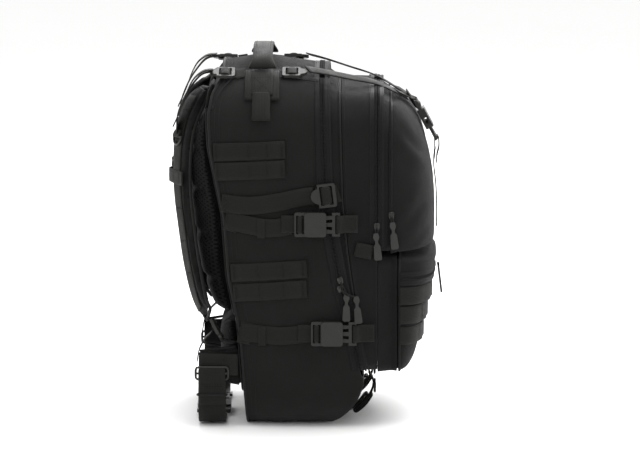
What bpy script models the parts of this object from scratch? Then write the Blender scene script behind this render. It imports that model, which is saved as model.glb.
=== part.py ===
"""Trauma backpack: a tall medical pack that opens as a clamshell, with two front pockets and a harness.

Sizes are in millimetres here and become metres in point(). +Z is up, the harness faces +Y and the
pockets face -Y. Left is the wearer's left, at -X. The origin is under the middle of the bounding box.

The sewn body is described by depth stations, from the back seam to the edge of the front pockets:
0 back seam, 1 main zip, 2 divider seam, 3 second zip, 4 rim of the upper pocket, 5 rim of the lower
pocket. At each station a cross-section is a rounded rectangle in XZ, and the whole body leans back.
"""

import math

import bmesh
import bpy
import numpy as np
from mathutils import Matrix, Vector

MM = 0.001
MIDDLE_Y = -8.05

# Body outline: where each station lies in Y at a height Z, as (Z, Y) corners.
BACK_SEAM = [(0, 72), (132, 82), (212, 98), (294, 104), (386, 123), (436, 126), (462, 121), (480, 110), (500, 94)]
MAIN_ZIP = [(0, -38), (8, -53), (20, -67), (36, -79), (64, -91), (82, -84), (153, -71), (200, -57), (318, -36),
            (500, -30)]
DIVIDER = [(0, -92), (82, -92), (120, -84), (175, -76), (246, -66), (318, -59), (500, -54)]
SECOND_ZIP_Y = -107
UPPER_RIM_Y = -127
LOWER_RIM_Y = -136

STATIONS = [0, 0.35, 1, 2, 3, 4, 5]
HALF_WIDTHS = [148, 157, 156, 153, 146, 137, 139]
TOPS = [484, 490, 480, 463, 462, 447, 447]
TOP_ARCHES = [12, 14, 11, 3, 2, 1, 1]
TOP_RADII = [75, 75, 72, 54, 50, 50, 50]
SIDE_BULGE = 7
MAIN_BOTTOM_RADIUS = 50
FRONT_BOTTOM_RADIUS = 14
FRONT_Z = 80
UPPER_Z = 243
LOWER_TOP_Z = 236
LOWER_Z = 77

# Crown of the two pocket faces in the middle plane, as (Z, Y).
UPPER_CROWN = [(243, -127), (246, -176), (252, -186), (281, -187), (324, -186), (353, -182), (380, -176),
               (407, -168), (426, -158), (438, -147), (445, -136), (448, -127)]
LOWER_CROWN = [(77, -136), (79, -148), (82, -154), (94, -163), (108, -166), (137, -174), (166, -177),
               (194, -183), (223, -187), (232, -184), (236, -136)]

# Thickness of the two back pads, as (Z, thickness).
BACK_PAD = [(150, 24), (170, 30), (200, 35), (230, 38), (265, 41), (300, 41), (340, 37), (380, 28), (410, 17),
            (440, 6)]
LUMBAR_PAD = [(42, 14), (60, 24), (90, 28), (120, 28), (146, 22)]

CLOTH = 3.0
GAP = 0.5
SIDE_WEBBING = 25
WEBBING = 1.6
PLASTIC = 4.0

# Columns of a wall, as fractions of the half-width, closer together where a pocket face curves most.
COLUMNS = [0, 0.3, 0.56, 0.76, 0.9, 0.975, 1]


# ---------------------------------------------------------------- scene and materials

def clear_scene():
    for obj in list(bpy.data.objects):
        bpy.data.objects.remove(obj, do_unlink=True)


def collection(name):
    made = bpy.data.collections.new(name)
    bpy.context.scene.collection.children.link(made)
    return made


def material(name, color, roughness, metallic=0.0):
    made = bpy.data.materials.new(name)
    made.use_nodes = True
    shader = made.node_tree.nodes["Principled BSDF"]
    shader.inputs["Base Color"].default_value = (*color, 1)
    shader.inputs["Roughness"].default_value = roughness
    shader.inputs["Metallic"].default_value = metallic
    made.diffuse_color = (*color, 1)
    return made


def add(name, mesh, mat):
    obj = bpy.data.objects.new(name, mesh)
    PARTS.objects.link(obj)
    if mat and not mesh.materials:
        mesh.materials.append(mat)
    return obj


def make_cutter(obj):
    for home in list(obj.users_collection):
        home.objects.unlink(obj)
    CUTTERS.objects.link(obj)
    obj.hide_render = True
    obj.display_type = "WIRE"


# ---------------------------------------------------------------- body surface

def point(x, y, z):
    return Vector((x * MM, (y - MIDDLE_Y) * MM, z * MM))


def along(table, z):
    heights, values = zip(*table)
    return float(np.interp(z, heights, values))


def seams_at(z):
    """Y of the stations 0 to 5 at a height."""
    seams = [along(table, z) for table in (BACK_SEAM, MAIN_ZIP, DIVIDER)]
    return [*seams, SECOND_ZIP_Y, UPPER_RIM_Y, LOWER_RIM_Y]


def station_y(depth, z):
    return float(np.interp(depth, range(6), seams_at(z)))


def depth_at(y, z):
    return float(np.interp(-y, [-mark for mark in seams_at(z)], range(6)))


def by_depth(values, depth):
    return float(np.interp(depth, STATIONS, values))


def bulge(z):
    return SIDE_BULGE * math.sin(math.pi * min(max(z / 490, 0), 1))


def side_x(y, z, lift=0.0):
    """Half-width of the body where the sides are straight, plus a lift off the cloth."""
    return by_depth(HALF_WIDTHS, depth_at(y, z)) + bulge(z) + lift


def top_z(x, y, lift=0.0):
    depth = depth_at(y, 470)
    radius = by_depth(TOP_RADII, depth)
    flat = by_depth(HALF_WIDTHS, depth) - radius
    top = by_depth(TOPS, depth)
    if abs(x) <= flat:
        return top + by_depth(TOP_ARCHES, depth) * (1 - (x / flat) ** 2) + lift
    return top - radius + math.sqrt(radius**2 - (abs(x) - flat) ** 2) + lift


def outline(depth, low, high, low_radius, high_radius, levels, arc=5):
    """Half of a rounded rectangle as rows of (half-width, Z), from the bottom edge to the top edge."""
    width = by_depth(HALF_WIDTHS, depth)
    turns = [math.radians(90 * k / arc) for k in range(arc + 1)]
    rows = [(width - low_radius * (1 - math.sin(t)), low + low_radius * (1 - math.cos(t))) for t in turns]
    rows += [(width, z) for z in levels]
    rows += [(width - high_radius * (1 - math.cos(t)), high - high_radius * (1 - math.sin(t))) for t in turns]
    return [(x + bulge(z), z) for x, z in rows]


def station(depth, low, low_radius, levels, high=None, high_radius=None, shift=0.0):
    """Rows of points right across the half section at one depth, or a little in front of it by shift."""
    high = by_depth(TOPS, depth) if high is None else high
    high_radius = by_depth(TOP_RADII, depth) if high_radius is None else high_radius
    rows = outline(depth, low, high, low_radius, high_radius, levels)
    grid = [[(x * f, station_y(depth, z) - shift, z) for f in COLUMNS] for x, z in rows]
    if high > 400:
        arch = by_depth(TOP_ARCHES, depth)
        grid[-1] = [(x, y, z + arch * (1 - f * f)) for (x, y, z), f in zip(grid[-1], COLUMNS)]
    return grid


def loop(grid):
    """The edge of a station's grid, from the bottom centre round to the top centre."""
    return grid[0] + [row[-1] for row in grid[1:-1]] + grid[-1][::-1]


def pillow(grid, crown, rim_y):
    """The grid pushed forward to a crown line in the middle plane, and left where it is at its edge."""
    swell = [math.sqrt(max(1 - f**4, 0)) for f in COLUMNS]
    return [[(x, y + (along(crown, z) - rim_y) * s, z) for (x, y, z), s in zip(row, swell)] for row in grid]


# ---------------------------------------------------------------- mesh helpers

def patch(bm, grid):
    verts = [[bm.verts.new(point(*p)) for p in row] for row in grid]
    for low, high in zip(verts, verts[1:]):
        for a, b, c, d in zip(low, low[1:], high[1:], high):
            bm.faces.new((a, b, c, d))


def sheet(name, patches, thickness, mat, mirrored=False):
    """A node from open patches of points, welded and thickened to both sides."""
    bm = bmesh.new()
    for grid in patches:
        patch(bm, grid)
    bmesh.ops.remove_doubles(bm, verts=bm.verts, dist=1e-5)
    bmesh.ops.dissolve_degenerate(bm, edges=bm.edges, dist=1e-6)
    bmesh.ops.recalc_face_normals(bm, faces=bm.faces)
    mesh = bpy.data.meshes.new(name)
    bm.to_mesh(mesh)
    bm.free()
    mesh.shade_smooth()
    obj = add(name, mesh, mat)
    if mirrored:
        mirror = obj.modifiers.new("both_sides", "MIRROR")
        mirror.merge_threshold = 0.0001
        mirror.use_clip = True
    solid = obj.modifiers.new("thickness", "SOLIDIFY")
    solid.thickness = thickness * MM
    solid.offset = 0
    return obj


def curve_through(points, steps):
    """A smooth row of points through the given ones (a Catmull-Rom curve)."""
    given = [np.array(p) for p in points]
    ends = [2 * given[0] - given[1], *given, 2 * given[-1] - given[-2]]
    made = []
    for a, b, c, d in zip(ends, ends[1:], ends[2:], ends[3:]):
        for k in range(steps):
            t = k / steps
            made.append(0.5 * (2 * b + (c - a) * t + (2 * a - 5 * b + 4 * c - d) * t**2
                               + (3 * b - a - 3 * c + d) * t**3))
    return [*made, ends[-2]]


def strap(name, path, width, thickness, mat, across=(0, 0, 1), columns=2):
    """A flat strap along a path. across is its width direction, one for all or one for each point."""
    sides = across if isinstance(across, list) else [across] * len(path)
    spread = np.linspace(-0.5, 0.5, columns)
    rows = []
    for centre, side in zip(path, sides):
        side = np.array(side) / np.linalg.norm(side)
        rows.append([tuple(np.array(centre) + side * width * s) for s in spread])
    return sheet(name, [rows], thickness, mat)


def rounded(width, height, radius, middle=(0, 0), corner=3):
    cx, cy = middle
    made = []
    for quarter, (sx, sy) in enumerate([(1, 1), (-1, 1), (-1, -1), (1, -1)]):
        for k in range(corner + 1):
            turn = math.radians(90 * (quarter + k / corner))
            made.append((cx + sx * (width / 2 - radius) + radius * math.cos(turn),
                         cy + sy * (height / 2 - radius) + radius * math.sin(turn)))
    return made


def plate_mesh(name, outlines, thickness):
    """A flat plate from 2D outlines, the first outside and the others holes, in local XY."""
    curve = bpy.data.curves.new(name, "CURVE")
    curve.dimensions = "2D"
    curve.fill_mode = "BOTH"
    curve.extrude = thickness / 2 * MM
    for corners in outlines:
        spline = curve.splines.new("POLY")
        spline.points.add(len(corners) - 1)
        spline.use_cyclic_u = True
        for spot, (x, y) in zip(spline.points, corners):
            spot.co = (x * MM, y * MM, 0, 1)
    return welded(name, bpy.data.objects.new(name, curve))


def welded(name, source):
    """A mesh from an object's evaluated form, with its seams welded. The object is removed."""
    bpy.context.scene.collection.objects.link(source)
    bpy.context.view_layer.update()
    graph = bpy.context.evaluated_depsgraph_get()
    mesh = bpy.data.meshes.new_from_object(source.evaluated_get(graph))
    bpy.data.objects.remove(source, do_unlink=True)
    bm = bmesh.new()
    bm.from_mesh(mesh)
    bmesh.ops.remove_doubles(bm, verts=bm.verts, dist=1e-5)
    bmesh.ops.recalc_face_normals(bm, faces=bm.faces)
    bm.to_mesh(mesh)
    bm.free()
    mesh.name = name
    return mesh


def box_cutter(name, size, middle):
    mesh = bpy.data.meshes.new(name)
    bm = bmesh.new()
    bmesh.ops.create_cube(bm, size=1)
    bmesh.ops.scale(bm, vec=[s * MM for s in size], verts=bm.verts)
    bmesh.ops.translate(bm, vec=[m * MM for m in middle], verts=bm.verts)
    bm.to_mesh(mesh)
    bm.free()
    obj = add(name, mesh, None)
    make_cutter(obj)
    return obj


def carved(name, start, steps):
    """The start mesh after booleans with cutters, as a new mesh."""
    body = bpy.data.objects.new(name, start)
    for operation, cutter in steps:
        cut = body.modifiers.new(cutter.name, "BOOLEAN")
        cut.operation = operation
        cut.object = cutter
    return welded(name, body)


def placed(name, mesh, mat, at, forward, up):
    """An object whose local X points forward and local Z points up off the cloth."""
    obj = add(name, mesh, mat)
    x = Vector(forward).normalized()
    z = (Vector(up) - Vector(up).dot(x) * x).normalized()
    y = z.cross(x)
    turn = Matrix((x, y, z)).transposed().to_4x4()
    obj.matrix_world = Matrix.Translation(point(*at)) @ turn
    return obj


# ---------------------------------------------------------------- buckle and lock shapes

BUCKLE_GRIP = 12
ARM_SHOW = 8
SOCKET_DEPTH = 11


def socket_mesh(name, webbing):
    """Side-release socket: a ladder frame at -X, a hollow body, and its mouth at local X = 0."""
    scale = webbing / 25
    body, frame, width = 30 * scale, 14 * scale, webbing + 9
    shell = plate_mesh(name, [rounded(body, width, 4 * scale, (-body / 2, 0))], SOCKET_DEPTH)
    ladder = add(name + "_ladder", plate_mesh(name + "_ladder", [
        rounded(frame + 4, width, 3, (-body - frame / 2 + 2, 0)),
        rounded(3.4 * scale, webbing + 1, 0.8, (-body - frame + 4.2 * scale, 0)),
        rounded(3.4 * scale, webbing + 1, 0.8, (-body - 2.6 * scale, 0))], 5), None)
    make_cutter(ladder)
    cavity = box_cutter(name + "_cavity", (2 * 20 * scale, webbing + 2, 6), (0, 0, 0))
    windows = box_cutter(name + "_windows", (9 * scale, width + 4, 4.4), (-12 * scale, 0, 0))
    return carved(name, shell, [("UNION", ladder), ("DIFFERENCE", cavity), ("DIFFERENCE", windows)])


def plug_mesh(name, webbing):
    """Side-release plug: three prongs towards -X, tips at local X = -grip, and a slotted base."""
    scale = webbing / 25
    half, arm, base = webbing / 2, ARM_SHOW * scale, 11 * scale
    tip = -BUCKLE_GRIP * scale
    outer = [(arm + base, -half - 4), (arm + base, half + 4), (arm, half + 4), (arm, half),
             (tip + 3, half - 0.6), (tip, half - 3), (tip, half - 7), (arm, half - 5), (arm, 3), (tip, 2), (tip, -2), (arm, -3),
             (arm, -half + 5), (tip, -half + 7), (tip, -half + 3), (tip + 3, -half + 0.6), (arm, -half),
             (arm, -half - 4)]
    slot = rounded(4 * scale, webbing + 1, 0.8, (arm + base - 4.4 * scale, 0))
    return plate_mesh(name, [outer, slot], PLASTIC)


def lock_mesh(name, webbing):
    """Ladder lock: three bars across, with a round thumb tab at -X."""
    width, length, thumb_half = webbing + 8, 25, 11
    arc = [math.radians(a) for a in range(110, 251, 20)]
    thumb = [(-length / 2 + 2 + 12 * math.cos(a), thumb_half * math.sin(a)) for a in arc]
    front = [p for p in rounded(length, width, 3) if p[0] > 0]
    back = [(-length / 2, width / 2), (-length / 2, thumb_half), *thumb,
            (-length / 2, -thumb_half), (-length / 2, -width / 2)]
    outer = [p for p in front if p[1] > 0] + back + [p for p in front if p[1] <= 0]
    slots = [rounded(5, webbing + 1, 0.8, (x, 0)) for x in (-7, 5.5)]
    return plate_mesh(name, [outer, *slots], PLASTIC)


def pull_mesh(name):
    """Zip slider and its pull as one flat moulding: the slider's nose up, the pull hanging down local -X."""
    corners = [(6, -3), (6, 3), (0, 4.5), (-5, 2.2), (-9, 2.2), (-12, 4.5), (-30, 5.5), (-32, 4),
               (-32, -4), (-30, -5.5), (-12, -4.5), (-9, -2.2), (-5, -2.2), (0, -4.5)]
    return plate_mesh(name, [corners], 3)


# ---------------------------------------------------------------- sewn body

MAIN_LEVELS = [76, 130, 185, 240, 300, 360]
FRONT_LEVELS = [130, 185, 240, 300, 360]
UPPER_LEVELS = [275, 300, 330, 360]
LOWER_LEVELS = [108, 137, 166, 194]


def wall(grid, top=None):
    return [row for row in grid if top is None or row[0][2] <= top + 0.01]


def main_shell():
    depths = [0, 0.12, 0.35, 0.6, 0.82, 0.985]
    grids = [station(d, CLOTH / 2, MAIN_BOTTOM_RADIUS, MAIN_LEVELS) for d in depths]
    patches = [[loop(g) for g in grids], wall(grids[0]), wall(grids[-1], MAIN_LEVELS[0])]
    sheet("main_shell", patches, CLOTH, FABRIC, mirrored=True)


def lid_shell():
    grids = [station(d, FRONT_Z, FRONT_BOTTOM_RADIUS, FRONT_LEVELS) for d in (1.04, 2)]
    sheet("lid_shell", [[loop(g) for g in grids], wall(grids[-1])], CLOTH, FABRIC, mirrored=True)


def second_shell():
    start = station(2, FRONT_Z, FRONT_BOTTOM_RADIUS, FRONT_LEVELS, shift=CLOTH / 2 + GAP)
    grids = [start, *[station(d, FRONT_Z, FRONT_BOTTOM_RADIUS, FRONT_LEVELS) for d in (2.5, 2.97)]]
    patches = [[loop(g) for g in grids], wall(grids[-1], FRONT_LEVELS[2])]
    sheet("second_shell", patches, CLOTH, FABRIC, mirrored=True)


def upper_panel():
    grids = [station(d, UPPER_Z + 4, 10, UPPER_LEVELS) for d in (3.14, 3.93)]
    sheet("upper_panel", [wall(grids[0]), [loop(g) for g in grids]], CLOTH, FABRIC, mirrored=True)


def upper_cover():
    grid = station(4, UPPER_Z, 14, [252, *UPPER_LEVELS], 446, 46)
    grid = [[(x, UPPER_RIM_Y - 0.8, z) for x, y, z in row] for row in grid]
    sheet("upper_cover", [pillow(grid, UPPER_CROWN, UPPER_RIM_Y)], CLOTH, FABRIC, mirrored=True)


def lower_gusset():
    grids = [station(d, LOWER_Z, 12, LOWER_LEVELS, LOWER_TOP_Z, 12) for d in (3.14, 4.9)]
    sheet("lower_gusset", [[loop(g) for g in grids]], CLOTH, FABRIC, mirrored=True)


def lower_face():
    grid = station(5, LOWER_Z, 12, LOWER_LEVELS, LOWER_TOP_Z, 12)
    grid = [[(x, LOWER_RIM_Y - 2.5, z) for x, y, z in row] for row in grid]
    sheet("lower_face", [pillow(grid, LOWER_CROWN, LOWER_RIM_Y)], CLOTH, FABRIC, mirrored=True)


def back_slab(name, low, high, half_width, thickness, mat, stand_off, crown=0.0, rows=8):
    """A plain slab that follows the back panel. stand_off is from the panel's middle to the slab's."""
    grid = []
    for z in np.linspace(low, high, rows):
        line = [(x, along(BACK_SEAM, z) + stand_off + crown * (1 - (x / half_width) ** 4), z)
                for x in np.linspace(-half_width, half_width, 7)]
        grid.append(line)
    sheet(name, [grid], thickness, mat)


def back_pillow(name, half_width, profile):
    """A pad on the back panel whose thickness follows a profile of (Z, thickness)."""
    inner, outer = [], []
    for z, depth in profile:
        base = along(BACK_SEAM, z) + CLOTH / 2 + 2
        xs = np.linspace(-half_width, half_width, 7)
        inner.append([(x, base, z) for x in xs])
        outer.append([(x, base + depth * (1 - 0.35 * abs(x / half_width) ** 6), z) for x in xs])
    ends = [[inner[0], outer[0]], [inner[-1], outer[-1]]]
    sides = [[[row[k], other[k]] for row, other in zip(inner, outer)] for k in (0, -1)]
    bm = bmesh.new()
    for grid in (inner, outer, *ends, *sides):
        patch(bm, grid)
    bmesh.ops.remove_doubles(bm, verts=bm.verts, dist=1e-5)
    bmesh.ops.recalc_face_normals(bm, faces=bm.faces)
    mesh = bpy.data.meshes.new(name)
    bm.to_mesh(mesh)
    bm.free()
    add(name, mesh, MESH)


def back_parts():
    back_pillow("back_pad", 120, BACK_PAD)
    back_pillow("lumbar_pad", 114, LUMBAR_PAD)
    back_slab("frame_sheet", 66, 440, 105, 2, HARD, -5, rows=10)
    back_slab("hydration_sleeve", 60, 330, 96, 1.2, FABRIC, -9, crown=-10)


def hip_wing(side, word):
    """Triangular wing sewn to the lower side seam, pointing back."""
    root = [112, 95, 78, 60]
    tip_y, tip_low, tip_high = 142, 70, 104
    grid = []
    for k, z in enumerate(root):
        share = k / (len(root) - 1)
        end_z = tip_high + (tip_low - tip_high) * share
        start_y = along(BACK_SEAM, z) + CLOTH / 2 + 3
        line = []
        for t in (0, 0.35, 0.7, 1):
            line.append((side * (143 - 6 * t), start_y + (tip_y - start_y) * t, z + (end_z - z) * t))
        grid.append(line)
    sheet("hip_wing_" + word, [grid], 8, FABRIC)


# ---------------------------------------------------------------- handle and harness

HANDLE_Y = 52
HANDLE_HALF = 98
HANDLE_TOP = 518
HANDLE_WIDTH = 28


def carry_handle():
    foot = top_z(HANDLE_HALF, HANDLE_Y, 9)
    path = [(HANDLE_HALF * math.sin(t), HANDLE_Y, foot + (HANDLE_TOP - foot) * math.cos(t) ** 0.8)
            for t in np.linspace(-math.pi / 2, math.pi / 2, 15)]
    strap("carry_handle", path, HANDLE_WIDTH, 4, WEB, across=(0, 1, 0))


SHOULDER = [(60, 130, 468), (66, 146, 444), (73, 159, 410), (80, 164, 365), (86, 163, 318), (93, 157, 268),
            (103, 150, 224), (116, 139, 180), (129, 125, 152)]
SHOULDER_WIDTH = 62
SHOULDER_PAD = 12
SHOULDER_LEAN = 20


def shoulder_strap(side, word):
    path = curve_through([(side * x, y, z) for x, y, z in SHOULDER], 3)
    across = []
    for x, y, z in path:
        lean = math.radians(SHOULDER_LEAN) * math.sin(math.pi * min(max((z - 150) / 320, 0), 1)) ** 0.6
        across.append((math.cos(lean), -side * math.sin(lean), 0))
    strap("shoulder_strap_" + word, path, SHOULDER_WIDTH, SHOULDER_PAD, FABRIC, across, columns=3)


def harness_webbing(side, word):
    lock_at, run = (side * 133, 116.5, 137), (side * -0.3, 0.46, 0.84)
    out = (0, 0.88, -0.46)
    placed("strap_lock_" + word, LADDER_LOCK, HARD, lock_at, run, out)
    path = curve_through([(side * 139, 104, 121), (side * 142, 97, 119), (side * 145, 90, 118)], 3)
    strap("harness_webbing_" + word, path, 22, WEBBING, WEB, (1, 0, 0))


LOCK_X = 94
LOCK_LIFT = 6.5


def load_lifter(side, word):
    placed("load_lifter_lock_" + word, LADDER_LOCK, HARD,
           (side * LOCK_X, 103, top_z(LOCK_X, 103, LOCK_LIFT)), (0, -1, -0.02), (side * 0.25, 0, 1))
    ends = [(side * 74, 172, 404), (side * 77, 170.5, 430), (side * 81, 159, 458), (side * 86, 144.5, 479),
            (side * 90, 134, 488.5)]
    strap("load_lifter_strap_" + word, curve_through(ends, 3), 20, WEBBING, WEB, (1, 0, 0))


STERNUM_Z = 342
SHOULDER_FACE_Y = 174


def sternum_half(side, word):
    """Webbing from the face of the shoulder pad to the middle, in front of the back panel."""
    inner = [(49, 181.2), (41, 175)] if side < 0 else [(47, 181.4), (34, 177.5), (14, 174.7)]
    ends = [(side * x, y, STERNUM_Z) for x, y in ((108, 162.8), (84, 172), (66, 178.5), (55, 182.2), *inner)]
    strap("sternum_strap_" + word, curve_through(ends, 3), 20, WEBBING, WEB, (0, 0, 1))


def sternum_buckle():
    y = SHOULDER_FACE_Y + 0.6
    placed("sternum_socket", SMALL_SOCKET, HARD, (-4, y, STERNUM_Z), (1, 0, 0), (0, 1, 0))
    placed("sternum_plug", SMALL_PLUG, HARD, (-4, y, STERNUM_Z), (1, 0, 0), (0, 1, 0))


def waist_half(side, word):
    """Belt webbing that hangs from the wing's tip to the ground and lies along it."""
    middle_y = 122
    inner = 66 if side < 0 else 98
    ends = [(side * 150, middle_y, 80), (side * 150, middle_y, 50), (side * 146, middle_y, 22),
            (side * 130, middle_y, 6), (side * 112, middle_y, 3.4), (side * inner, middle_y, 3.4)]
    strap("waist_strap_" + word, curve_through(ends, 4), 38, 2, WEB, (0, 1, 0))


def waist_buckle():
    placed("waist_socket", BIG_SOCKET, HARD, (3, 122, 7), (1, 0, 0), (0, 0, 1))
    placed("waist_plug", BIG_PLUG, HARD, (66, 122, 4.2), (1, 0, 0), (0, 0, 1))


# ---------------------------------------------------------------- compression hardware

UPPER_STRAP = [(101, 293), (75, 287), (40, 282), (12, 286)]
LOWER_STRAP = [(82, 135), (58, 133), (25, 131), (-12, 134)]
BUCKLE_LIFT = 9.5


def compression(side, word, level, path, mouth_y, z):
    """Webbing from the back seam, the socket on its end, and the plug on the front section."""
    line = curve_through([(y, h) for y, h in path], 3)
    points = [(side * side_x(y, h, CLOTH / 2 + WEBBING / 2 + 1), y, h) for y, h in line]
    strap(f"{level}_strap_{word}", points, SIDE_WEBBING, WEBBING, WEB)
    frame_y = mouth_y + 44
    out = (side, 0, 0)
    ends = [side_x(y, z, BUCKLE_LIFT) for y in (frame_y, mouth_y)]
    turn = (side * (ends[1] - ends[0]) / 44, -1, 0)
    at = (side * ends[1], mouth_y, z)
    placed(f"{level}_socket_{word}", SOCKET, HARD, at, turn, out)
    placed(f"{level}_plug_{word}", PLUG, HARD, at, turn, out)


def side_adjuster(side, word):
    """The ladder lock with its thumb tab above the upper buckle."""
    placed("side_adjust_lock_" + word, LADDER_LOCK, HARD,
           (side * side_x(-40, 328, 7.5), -38, 328), (0, -1, 0.12), (side, 0, 0))


def top_strap(side, word):
    """One arm of the V from the top of the main compartment to the front buckle."""
    placed("top_lock_" + word, LADDER_LOCK, HARD,
           (side * LOCK_X, 12, top_z(LOCK_X, 12, LOCK_LIFT)), (0, 1, 0), (side * 0.25, 0, 1))
    ends = [(side * 90, -10, 494), (side * 79, -34, 489), (side * 62, -68, 480), (side * 42, -105, 470),
            (side * 24, -134, 455), (side * 15.5, -147, 446.5)]
    strap("top_strap_" + word, curve_through(ends, 3), 22, WEBBING, WEB, (1, -0.45 * side, 0))


FRONT_MOUTH = (0, -182, 402)


def front_buckle():
    run, out = (0, -0.48, -0.88), (0, -0.88, 0.48)
    placed("front_socket", SOCKET, HARD, FRONT_MOUTH, run, out)
    placed("front_plug", PLUG, HARD, FRONT_MOUTH, run, out)
    ends = [(0, -188.5, 377), (0, -190.5, 350), (0, -191.8, 322), (0, -192.3, 290), (0, -192.2, 262)]
    strap("front_strap", curve_through(ends, 3), SIDE_WEBBING, WEBBING, WEB, (1, 0, 0))


def bottom_strap(side, word):
    """Bedroll strap: it leaves the base's front edge and loops down and forward."""
    ends = [(side * 74, -96, 66), (side * 74, -102, 54), (side * 74, -100, 38), (side * 74, -90, 23),
            (side * 74, -78, 11)]
    strap("bottom_strap_" + word, curve_through(ends, 3), SIDE_WEBBING, 2, WEB, (1, 0, 0))


# ---------------------------------------------------------------- zips

def zip_pulls():
    """The main zip's two sliders are at its left end, their pulls hanging out over the lower buckle."""
    clear_x = side_x(-60, 135, 6.8)
    for name, y, z, lean in (("main_zip_pull_a", -65, 184, 0.0), ("main_zip_pull_b", -79, 181, 0.1)):
        placed(name, PULL, HARD, (-clear_x, y, z), (0.25, lean, 0.968), (-1, 0, 0.25))
    upper_x = by_depth(HALF_WIDTHS, 4) + bulge(262)
    placed("second_zip_pull", PULL, HARD, (-side_x(-106, 262, 6), -106, 268), (0, 0.1, 1), (-1, 0, 0))
    placed("upper_zip_pull", PULL, HARD, (-upper_x - 6, -129, 282), (0, 0.1, 1), (-1, 0, 0))
    placed("lower_zip_pull", PULL, HARD, (-60, -194, 208), (0, 0.12, 1), (0, -1, 0))


SIDES = ((-1, "left"), (1, "right"))

clear_scene()
PARTS = collection("trauma_backpack")
CUTTERS = collection("cutters")
FABRIC = material("nylon_fabric", (0.016, 0.016, 0.016), 0.82)
WEB = material("webbing", (0.028, 0.028, 0.025), 0.7)
MESH = material("air_mesh", (0.012, 0.012, 0.012), 0.9)
HARD = material("black_plastic", (0.03, 0.031, 0.028), 0.42)
LADDER_LOCK = lock_mesh("ladder_lock", SIDE_WEBBING)
SOCKET = socket_mesh("buckle_socket", SIDE_WEBBING)
PLUG = plug_mesh("buckle_plug", SIDE_WEBBING)
SMALL_SOCKET = socket_mesh("small_socket", 20)
SMALL_PLUG = plug_mesh("small_plug", 20)
BIG_SOCKET = socket_mesh("big_socket", 38)
BIG_PLUG = plug_mesh("big_plug", 38)
PULL = pull_mesh("zip_pull")

main_shell()
lid_shell()
second_shell()
upper_panel()
upper_cover()
lower_gusset()
lower_face()
back_parts()
carry_handle()
for side, word in SIDES:
    hip_wing(side, word)
    shoulder_strap(side, word)
    harness_webbing(side, word)
    load_lifter(side, word)
    sternum_half(side, word)
    waist_half(side, word)
    compression(side, word, "upper", UPPER_STRAP, -37, 288)
    compression(side, word, "lower", LOWER_STRAP, -60, 135)
    side_adjuster(side, word)
    top_strap(side, word)
    bottom_strap(side, word)
sternum_buckle()
waist_buckle()
front_buckle()
zip_pulls()
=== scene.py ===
"""Looks of the trauma backpack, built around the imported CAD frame.

Sizes are in millimetres in the part's own axes and become metres in point(): harness towards +Y,
pockets towards -Y, the wearer's left at -X. Depth stations run from the back seam (0) over the main
zip (1), the divider seam (2), the second zip (3) and the upper pocket's rim (4) to the lower pocket's
rim (5), as they do in the CAD source.
"""

import math

import bmesh
import bpy
import numpy as np
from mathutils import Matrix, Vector, noise


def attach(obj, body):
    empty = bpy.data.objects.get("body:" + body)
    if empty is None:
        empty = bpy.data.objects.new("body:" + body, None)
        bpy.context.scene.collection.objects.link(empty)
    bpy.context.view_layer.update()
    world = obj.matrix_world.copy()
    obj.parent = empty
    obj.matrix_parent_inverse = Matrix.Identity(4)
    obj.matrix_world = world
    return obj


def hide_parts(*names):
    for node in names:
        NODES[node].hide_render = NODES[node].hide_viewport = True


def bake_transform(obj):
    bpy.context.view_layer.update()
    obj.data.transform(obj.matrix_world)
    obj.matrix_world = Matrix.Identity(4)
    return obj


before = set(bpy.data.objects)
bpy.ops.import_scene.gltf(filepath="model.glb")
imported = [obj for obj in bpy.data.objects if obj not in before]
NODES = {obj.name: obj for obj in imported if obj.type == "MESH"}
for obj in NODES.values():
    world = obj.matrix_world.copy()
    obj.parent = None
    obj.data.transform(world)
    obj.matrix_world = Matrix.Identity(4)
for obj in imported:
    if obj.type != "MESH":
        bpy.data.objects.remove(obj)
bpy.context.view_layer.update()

MM = 0.001
MIDDLE_Y = -8.05

# Seams and pocket crowns are tables of (height, y). The other lists give one value to each of STATIONS.
BACK_SEAM = [(0, 72), (132, 82), (212, 98), (294, 104), (386, 123), (436, 126), (462, 121), (480, 110),
             (500, 94)]
MAIN_ZIP = [(0, -38), (8, -53), (20, -67), (36, -79), (64, -91), (82, -84), (153, -71), (200, -57),
            (318, -36), (500, -30)]
DIVIDER = [(0, -92), (82, -92), (120, -84), (175, -76), (246, -66), (318, -59), (500, -54)]
SECOND_ZIP_Y = -107
UPPER_RIM_Y = -127
LOWER_RIM_Y = -136
STATIONS = [0, 0.35, 1, 2, 3, 4, 5]
HALF_WIDTHS = [148, 157, 156, 153, 146, 137, 139]
TOPS = [484, 490, 480, 463, 462, 447, 447]
TOP_ARCHES = [12, 14, 11, 3, 2, 1, 1]
TOP_RADII = [75, 75, 72, 54, 50, 50, 50]
SIDE_BULGE = 7
FRONT_Z = 80
UPPER_CROWN = [(243, -127), (246, -176), (252, -186), (281, -187), (324, -186), (353, -182), (380, -176),
               (407, -168), (426, -158), (438, -147), (445, -136), (448, -127)]
LOWER_CROWN = [(77, -136), (79, -146), (82, -151), (94, -158), (108, -162), (137, -169), (166, -174),
               (194, -181), (223, -186), (232, -184), (236, -136)]
SIDES = ((-1, "left"), (1, "right"))


# ---------------------------------------------------------------- body surface

def point(x, y, z):
    """Millimetres in the part's axes to metres in the frame's."""
    return Vector((x * MM, (y - MIDDLE_Y) * MM, z * MM))


def unit(vectors, least=1e-9):
    """Vectors of length one along the last axis."""
    vectors = np.asarray(vectors, float)
    return vectors / np.maximum(np.linalg.norm(vectors, axis=-1, keepdims=True), least)


def mirrored(side, points):
    """Points given for the right side, on either side."""
    return [(side * x, y, z) for x, y, z in points]


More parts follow.
